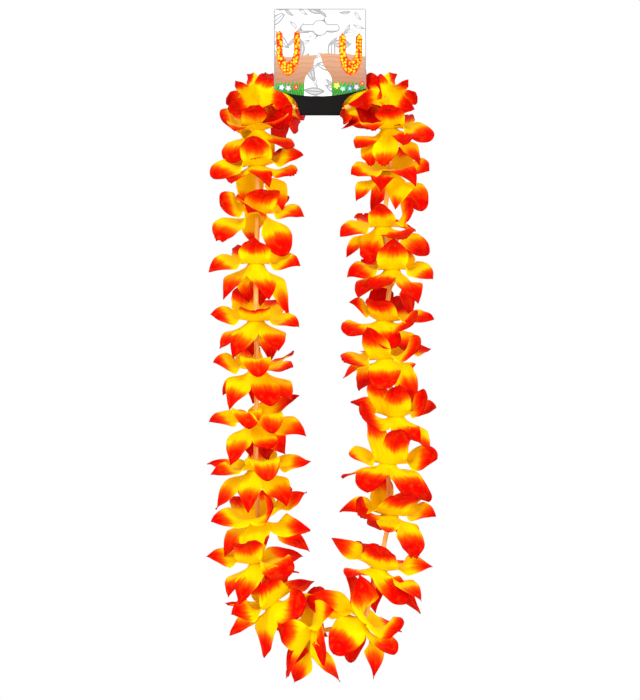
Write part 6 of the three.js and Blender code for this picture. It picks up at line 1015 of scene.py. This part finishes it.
def make_card_mat():
    n = Net("printed_header_board")
    c = n.node("ShaderNodeTexCoord").outputs["Object"]
    sc = n.node("ShaderNodeVectorMath", operation="SCALE")
    n.put(sc.inputs[0], c)
    sc.inputs["Scale"].default_value = 1000.0
    P = sc.outputs[0]
    x, y, z = n.split(P)
    col = n.mix(0.0, lin(238, 240, 242), lin(238, 240, 242))

    def lens(u, v, length, width):
        """1 inside a leaf shape lying along u from -length to +length."""
        q = n.div(u, length)
        prof = n.hi(n.sub(1.0, n.mul(q, q)), 0.0)
        edge = n.sub(n.mul(prof, width), n.m("ABSOLUTE", v))
        return edge

    # pale grey leaves scattered over the white board
    def scattered(scale, seed, length, width, shade, coverage):
        nonlocal col
        vor = n.node("ShaderNodeTexVoronoi", feature="F1", voronoi_dimensions="2D")
        vor.inputs["Scale"].default_value = 1.0
        vor.inputs["Randomness"].default_value = 0.85
        vec = n.join(n.add(n.mul(x, scale), seed), n.add(n.mul(z, scale), seed * 1.7))
        n.put(vor.inputs["Vector"], vec)
        px, pz, _ = n.split(vor.outputs["Position"])
        vx, vz, _ = n.split(vec)
        dx, dz = n.sub(vx, px), n.sub(vz, pz)
        r, g, b = n.split(vor.outputs["Color"])
        ang = n.mul(r, 6.283)
        ca, sa = n.m("COSINE", ang), n.m("SINE", ang)
        u = n.add(n.mul(dx, ca), n.mul(dz, sa))
        v = n.sub(n.mul(dz, ca), n.mul(dx, sa))
        v = n.add(v, n.mul(n.mul(u, u), n.mul(n.sub(g, 0.5), 0.9)))
        e = lens(u, v, length, width)
        line = n.mul(n.step(e, -0.05, -0.01), n.step(e, 0.075, 0.03))
        rib = n.mul(n.step(n.m("ABSOLUTE", v), 0.042, 0.018), n.step(e, 0.0, 0.02))
        veins = n.mul(n.step(n.m("SINE", n.mul(n.sub(u, n.mul(n.m("ABSOLUTE", v), 0.9)), 46.0)), 0.70, 0.97), n.step(e, 0.02, 0.04))
        fill = n.mul(n.step(e, 0.0, 0.02), n.step(b, 0.45, 0.55))
        keep = n.step(g, 1.0 - coverage - 0.02, 1.0 - coverage + 0.02)
        col = n.mix(n.mul(n.mul(fill, 0.65), keep), col, shade)
        col = n.mix(n.mul(n.hi(n.hi(line, rib), n.mul(veins, 0.7)), keep), col, shade)

    scattered(0.055, 3.1, 0.48, 0.17, lin(134, 137, 141), 0.95)
    scattered(0.085, 8.6, 0.44, 0.12, lin(140, 143, 147), 0.8)

    # a flat sandy beach with a white inlet in the middle
    crest = n.add(-23.0, n.mul(n.m("SINE", n.add(n.mul(x, 0.085), 0.7)), 1.3))
    crest = n.add(crest, n.mul(n.m("SINE", n.mul(x, 0.31)), 0.35))
    depth = n.sub(crest, z)
    inlet = n.add(1.5, n.mul(n.step(depth, 0.0, 26.0), 10.5))
    inlet = n.add(inlet, n.mul(n.m("SINE", n.mul(z, 0.42)), 0.5))
    dry = n.mul(n.step(depth, -0.10, 0.10), n.step(n.sub(n.m("ABSOLUTE", n.add(x, 1.7)), inlet), -0.12, 0.12))
    rip = n.m("SINE", n.add(n.mul(depth, 1.5), n.mul(n.noise(P, 0.10, 2.0, 0.5), 7.0)))
    tone = n.mix(n.step(depth, 0.0, 26.0), lin(176, 136, 108), lin(158, 114, 88))
    tone = n.mix(n.mul(n.step(rip, 0.35, 1.0), 0.30), tone, lin(140, 98, 72))
    col = n.mix(dry, col, tone)

    # two garlands of small blossoms, each hanging as a U
    def garland(cx, top, turn_z, arm, sag, half, seed):
        nonlocal col
        vor = n.node("ShaderNodeTexVoronoi", feature="F1", voronoi_dimensions="2D")
        vor.inputs["Scale"].default_value = 1.0
        vor.inputs["Randomness"].default_value = 0.75
        n.put(vor.inputs["Vector"], n.join(n.add(n.mul(x, 0.40), seed), n.mul(z, 0.40)))
        rr = vor.outputs["Distance"]
        r, g, b = n.split(vor.outputs["Color"])
        u = n.div(n.m("ABSOLUTE", n.sub(x, cx)), arm)
        low = n.div(n.hi(n.sub(turn_z, z), 0.0), sag)
        dist = n.m("SQRT", n.add(n.mul(u, u), n.mul(low, low)))
        rough = n.mul(n.sub(n.noise(n.join(x, z, 0.0), 0.9, 2.0, 0.6), 0.5), 2.6)
        away = n.add(n.mul(n.m("ABSOLUTE", n.sub(dist, 1.0)), arm * 1.15), rough)
        away = n.add(away, n.mul(n.hi(n.sub(z, top - 3.0), 0.0), 0.95))
        inside = n.step(away, half, half - 0.35)
        tint = n.ramp(n.add(n.mul(rr, 1.25), n.mul(n.sub(r, 0.5), 0.35)), [
            (0.0, lin(255, 214, 30)), (0.30, lin(255, 186, 20)), (0.48, lin(255, 128, 14)), (0.70, lin(244, 62, 16)), (0.92, lin(200, 26, 14))])
        tint = n.mix(n.step(away, half - 1.3, half - 0.3), tint, lin(232, 52, 16))
        col = n.mix(inside, col, tint)

    garland(-27.0, -2.2, -18.7, 7.4, 16.0, 3.3, 4.3)
    garland(26.1, -4.9, -19.0, 7.0, 15.0, 3.6, 9.7)

    # green leaves along the bottom of the beach with small blossoms in them
    sides = n.step(n.m("ABSOLUTE", n.add(x, 1.7)), 11.4, 12.2)

    def leaves(pitch, base, length, width, lean, shade, shade2, phase):
        nonlocal col
        cell = n.m("ROUND", n.div(n.add(x, phase), pitch))
        wob = n.m("SINE", n.mul(cell, 12.9898))
        ux = n.sub(n.add(x, phase), n.mul(cell, pitch))
        uz = n.sub(z, n.add(base, n.mul(wob, 1.2)))
        ang = n.add(lean, n.mul(wob, 0.35))
        ca, sa = n.m("COSINE", ang), n.m("SINE", ang)
        u = n.add(n.mul(uz, ca), n.mul(ux, sa))
        v = n.sub(n.mul(ux, ca), n.mul(uz, sa))
        e = lens(u, v, length, width)
        mask = n.mul(n.step(e, -0.05, 0.08), sides)
        rib = n.step(n.m("ABSOLUTE", v), 0.22, 0.06)
        tint = n.mix(rib, n.mix(n.step(n.m("ABSOLUTE", v), 0.0, width), shade, shade2), lin(120, 176, 84))
        col = n.mix(mask, col, tint)

    leaves(3.4, -51.0, 6.4, 1.9, 0.35, lin(24, 122, 38), lin(52, 148, 52), 0.0)
    leaves(3.4, -52.6, 6.0, 2.0, -0.45, lin(38, 140, 44), lin(76, 164, 64), 1.7)
    leaves(3.9, -55.5, 7.0, 2.1, 0.1, lin(22, 110, 36), lin(46, 136, 46), 0.6)

    def blossom(bx, bz, rad, turn_by, petals_in, heart):
        nonlocal col
        dx, dz = n.sub(x, bx), n.sub(z, bz)
        dist = n.m("SQRT", n.add(n.mul(dx, dx), n.mul(dz, dz)))
        lobe = n.add(1.0, n.mul(n.m("COSINE", n.add(n.mul(n.m("ARCTAN2", dz, dx), 5.0), turn_by)), 0.2))
        rr = n.div(dist, n.mul(lobe, rad))
        tint = n.mix(n.step(rr, 0.45, 0.95), petals_in, heart)
        tint = n.mix(n.step(rr, 0.36, 0.22), tint, lin(236, 206, 120))
        col = n.mix(n.step(rr, 1.04, 0.96), col, tint)

    for bx, bz, rad, turn_by, inner, outer in (
            (-32.6, -50.6, 2.2, 0.4, (232, 236, 240), (96, 150, 196)), (-26.9, -51.3, 2.1, 1.9, (226, 196, 222), (190, 150, 196)),
            (-20.3, -50.4, 2.2, 3.1, (214, 66, 58), (190, 26, 24)), (14.2, -49.2, 2.3, 0.9, (236, 226, 110), (214, 196, 40)),
            (19.4, -51.8, 2.0, 2.4, (176, 226, 214), (96, 180, 168)), (25.3, -51.6, 2.2, 5.0, (120, 168, 206), (40, 96, 160)),
            (31.0, -50.4, 2.1, 1.2, (222, 190, 226), (180, 140, 192)), (35.9, -47.2, 2.1, 4.1, (222, 88, 74), (196, 30, 28))):
        blossom(bx, bz, rad, turn_by, lin(*inner), lin(*outer))

    # a fine grey band round the board's edge and round the slot: painted shade standing in for the shaded cut edge
    # and the soft shadow beside it
    edge_shade_dist = n.lo(n.sub(CARD_HALF, n.m("ABSOLUTE", x)), n.sub(CARD_TOP, z))
    rim = n.step(edge_shade_dist, 1.55, 0.55)
    arm_x = n.hi(n.sub(n.m("ABSOLUTE", x), SLOT_W / 2 - SLOT_H / 2), 0.0)
    arm_d = n.sub(n.m("SQRT", n.add(n.mul(arm_x, arm_x), n.mul(z, z))), SLOT_H / 2)
    eye_d = n.sub(n.m("SQRT", n.add(n.mul(x, x), n.mul(z, z))), SLOT_R)
    slot_d = n.lo(arm_d, eye_d)
    rim = n.hi(rim, n.step(slot_d, 1.55, 0.60))
    # painted shade: the grey laid along the edges of the board and of the slot
    col = n.mix(n.mul(rim, 0.9), col, lin(126, 129, 133))

    # the black foot of the card
    edge = n.add(n.add(-58.1, n.mul(n.mul(x, x), 0.0038)), n.mul(x, 0.016))
    under = n.sub(edge, z)
    black = n.hi(n.step(under, -0.12, 0.12), n.step(y, -1.3, -1.1))      # and the flap behind the panel
    # lighter patches at random in the black ink: a painted sheen
    painted_ink_sheen = n.noise(P, 0.08, 2.0, 0.5)
    ink = n.mix(n.step(painted_ink_sheen, 0.3, 0.8), lin(6, 4, 5), lin(12, 9, 10))
    # only the face is printed; the back and the cut edges are bare board
    geo = n.node("ShaderNodeNewGeometry")
    front = n.attr("face")
    fr, _, _ = n.split(front)
    fibre = n.noise(P, 1.1, 4.0, 0.6)
    bare = n.ramp(fibre, [(0.3, lin(236, 232, 224)), (0.7, lin(246, 243, 238))])
    col = n.mix(black, col, ink)
    col = n.mix(fr, bare, col)
    n.put(n.bsdf.inputs["Base Color"], col)
    rough = n.add(n.mul(fr, -0.42), 0.78)
    n.put(n.bsdf.inputs["Roughness"], rough)
    n.put(n.bsdf.inputs["Normal"], n.bump(fibre, 0.00004, 0.35))
    n.bsdf.inputs["Specular IOR Level"].default_value = 0.08
    return n.mat


def card_outline():
    def half(s):
        return [(s * x, z) for x, z in ((CARD_HALF, CARD_SHOULDER), (31, -55), (24.5, -58.6), (20, -64), (18.5, -69))]
    def catmull(pts, n):
        pts = [np.array(p, float) for p in pts]
        pts = [2 * pts[0] - pts[1]] + pts + [2 * pts[-1] - pts[-2]]
        out = []
        for i in range(1, len(pts) - 2):
            p0, p1, p2, p3 = pts[i - 1:i + 3]
            for k in range(n):
                t = k / n
                out.append(0.5 * ((2 * p1) + (p2 - p0) * t + (2 * p0 - 5 * p1 + 4 * p2 - p3) * t * t + (3 * p1 - p0 - 3 * p2 + p3) * t ** 3))
        out.append(pts[-2])
        return out
    left = catmull(half(-1) + [(-TAB_HALF, FOLD_Z)], 5)
    right = catmull([(TAB_HALF, FOLD_Z)] + half(1)[::-1], 5)
    corner = []
    r = 1.6
    for cx, a0 in ((CARD_HALF - r, 0.0), (-CARD_HALF + r, math.pi / 2)):
        for k in range(7):
            a = a0 + k / 6 * math.pi / 2
            corner.append(np.array([cx + r * math.cos(a), CARD_TOP - r + r * math.sin(a)]))
    return left + right + corner


def slot_outline():
    pts = []
    a0, r = math.asin(SLOT_H / 2 / SLOT_R), SLOT_H / 2
    def arc(cx, rad, a, b, n):
        for k in range(n + 1):
            t = a + (b - a) * k / n
            pts.append(np.array([cx + rad * math.cos(t), rad * math.sin(t)]))
    arc(0, SLOT_R, a0, math.pi - a0, 20)
    arc(-SLOT_W / 2 + r, r, math.pi / 2, 1.5 * math.pi, 14)
    arc(0, SLOT_R, math.pi + a0, 2 * math.pi - a0, 20)
    arc(SLOT_W / 2 - r, r, -math.pi / 2, math.pi / 2, 14)
    return pts


def card_object(mat):
    cu = bpy.data.curves.new("card_outline", "CURVE")
    cu.dimensions = "2D"
    cu.fill_mode = "BOTH"
    bev = 0.07
    cu.extrude = CARD_T / 2 - bev
    cu.bevel_depth = bev
    cu.bevel_resolution = 2
    cu.offset = -bev
    for pts in (card_outline(), slot_outline()):
        sp = cu.splines.new("POLY")
        sp.points.add(len(pts) - 1)
        for p, q in zip(sp.points, pts):
            p.co = (q[0], q[1], 0, 1)
        sp.use_cyclic_u = True
    tmp = bpy.data.objects.new("card_tmp", cu)
    bpy.context.collection.objects.link(tmp)
    dg = bpy.context.evaluated_depsgraph_get()
    me = bpy.data.meshes.new_from_object(tmp.evaluated_get(dg))
    V = np.array([v.co[:] for v in me.vertices])
    faces = [list(p.vertices) for p in me.polygons]
    bpy.data.objects.remove(tmp)
    V = np.stack([V[:, 0], -V[:, 2] + CARD_Y + CARD_T / 2, V[:, 1]], 1)
    # the fold and the flap: a strip that goes round under the thread and up to the glue
    cols = np.linspace(-1, 1, 13)
    rm = SLEEVE_IN + CARD_T / 2
    mid = [(-rm - 0.03, FOLD_Z + 0.5)]
    for a in np.linspace(math.pi, 2 * math.pi, 17):
        mid.append((rm * math.cos(a), FOLD_Z + rm * math.sin(a)))
    for zz in np.linspace(FOLD_Z, -64.4, 7)[1:]:
        mid.append((rm, zz))
    for k in np.linspace(0, 1, 13)[1:]:
        e = k * k * (3 - 2 * k)
        mid.append((rm + (-SLEEVE_IN + CARD_T / 2 - rm) * e, -64.4 + 3.9 * k))
    for zz in np.linspace(-60.5, -53.5, 7)[1:]:
        mid.append((-SLEEVE_IN + CARD_T / 2, zz))
    mid = np.array(mid)
    tan = np.gradient(mid, axis=0)
    tan /= np.linalg.norm(tan, axis=1, keepdims=True)
    nor = np.stack([-tan[:, 1], tan[:, 0]], 1)       # towards the thread side
    hw = np.full(len(mid), TAB_HALF - 0.25)
    hw[-6:] -= np.linspace(0, 0.9, 6) ** 2
    def sheet_pts(side):
        out = []
        for i in range(len(mid)):
            for cc in cols:
                p = mid[i] + nor[i] * side * CARD_T / 2
                out.append((cc * hw[i], p[0], p[1]))
        return out
    n0, nc, nr = len(V), len(cols), len(mid)
    S = sheet_pts(-1) + sheet_pts(1)
    F2 = []
    for i in range(nr - 1):
        for k in range(nc - 1):
            a = n0 + i * nc + k
            F2.append([a, a + 1, a + 1 + nc, a + nc])
            b = a + nr * nc
            F2.append([b, b + nc, b + nc + 1, b + 1])
    off = nr * nc
    for i in range(nr - 1):
        a, b = n0 + i * nc, n0 + (i + 1) * nc
        F2.append([a, b, b + off, a + off])
        a, b = a + nc - 1, b + nc - 1
        F2.append([a, a + off, b + off, b])
    for k in range(nc - 1):
        a = n0 + k
        F2.append([a, a + off, a + off + 1, a + 1])
        b = n0 + (nr - 1) * nc + k
        F2.append([b, b + 1, b + 1 + off, b + off])
    allV = np.concatenate([V, np.array(S)])
    allF = faces + F2
    ob = new_object("card_board", allV * MM, allF, [mat])
    me = ob.data
    # which faces carry the print: the outer side of the panel, the fold and the flap
    vals = []
    smooth_flags = []
    for pi, p in enumerate(me.polygons):
        if pi < len(faces):
            low = max(me.vertices[v].co.z for v in p.vertices) < (FOLD_Z + 0.3) * MM
            f = 1.0 if p.normal.y < -0.5 or low else 0.0
        else:
            k = pi - len(faces)
            grid = 2 * (nr - 1) * (nc - 1)
            f = 1.0 if (k < grid and k % 2 == 0) else 0.0
        smooth_flags.append(pi >= len(faces))
        vals += [f, f, f] * len(p.vertices)
    me.polygons.foreach_set("use_smooth", smooth_flags)
    at = me.attributes.new("face", "FLOAT_VECTOR", "CORNER")
    at.data.foreach_set("vector", np.array(vals, np.float32))
    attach(ob, "root")
    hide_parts("header_card")
    return ob


card_object(make_card_mat())

# ---- floor and light ----
def stage():
    n = Net("pale_floor")
    c = n.node("ShaderNodeTexCoord").outputs["Object"]
    soft = n.noise(c, 3.0, 2.0, 0.5)
    n.put(n.bsdf.inputs["Base Color"], n.ramp(soft, [(0.3, (0.86, 0.86, 0.86)), (0.7, (0.88, 0.88, 0.88))]))
    n.bsdf.inputs["Roughness"].default_value = 0.8
    seg = 96
    V = [(1.6 * math.cos(2 * math.pi * i / seg), 1.6 * math.sin(2 * math.pi * i / seg), -0.75) for i in range(seg)]
    ob = new_object("floor", V, [tuple(range(seg))], [n.mat], False)
    w = bpy.data.worlds.new("studio")
    bpy.context.scene.world = w
    w.use_nodes = True
    t = w.node_tree
    t.nodes.clear()
    out = t.nodes.new("ShaderNodeOutputWorld")
    lit, seen = t.nodes.new("ShaderNodeBackground"), t.nodes.new("ShaderNodeBackground")
    lit.inputs[0].default_value, lit.inputs[1].default_value = (1.0, 0.95, 0.90, 1), 1.0
    seen.inputs[0].default_value, seen.inputs[1].default_value = (1, 1, 1, 1), 1.0
    lp, mx = t.nodes.new("ShaderNodeLightPath"), t.nodes.new("ShaderNodeMixShader")
    t.links.new(lp.outputs["Is Camera Ray"], mx.inputs[0])
    t.links.new(lit.outputs[0], mx.inputs[1])
    t.links.new(seen.outputs[0], mx.inputs[2])
    t.links.new(mx.outputs[0], out.inputs[0])
    for name, loc, size, power in (
        ("key", (-0.9, -2.2, 0.75), 0.8, 43.0),
        ("fill", (1.3, -2.0, -0.55), 1.6, 31.0),
        ("under", (0.1, -1.4, -1.6), 1.6, 13.0),
        ("back", (0.3, 2.4, 0.6), 1.8, 19.0),
    ):
        d = bpy.data.lights.new(name, "AREA")
        d.shape, d.size, d.energy = "DISK", size, power
        o = bpy.data.objects.new(name, d)
        bpy.context.collection.objects.link(o)
        o.location = loc
        o.rotation_mode = "QUATERNION"
        o.rotation_quaternion = (Vector((0, 0, -0.27)) - Vector(loc)).to_track_quat("-Z", "Y")


stage()
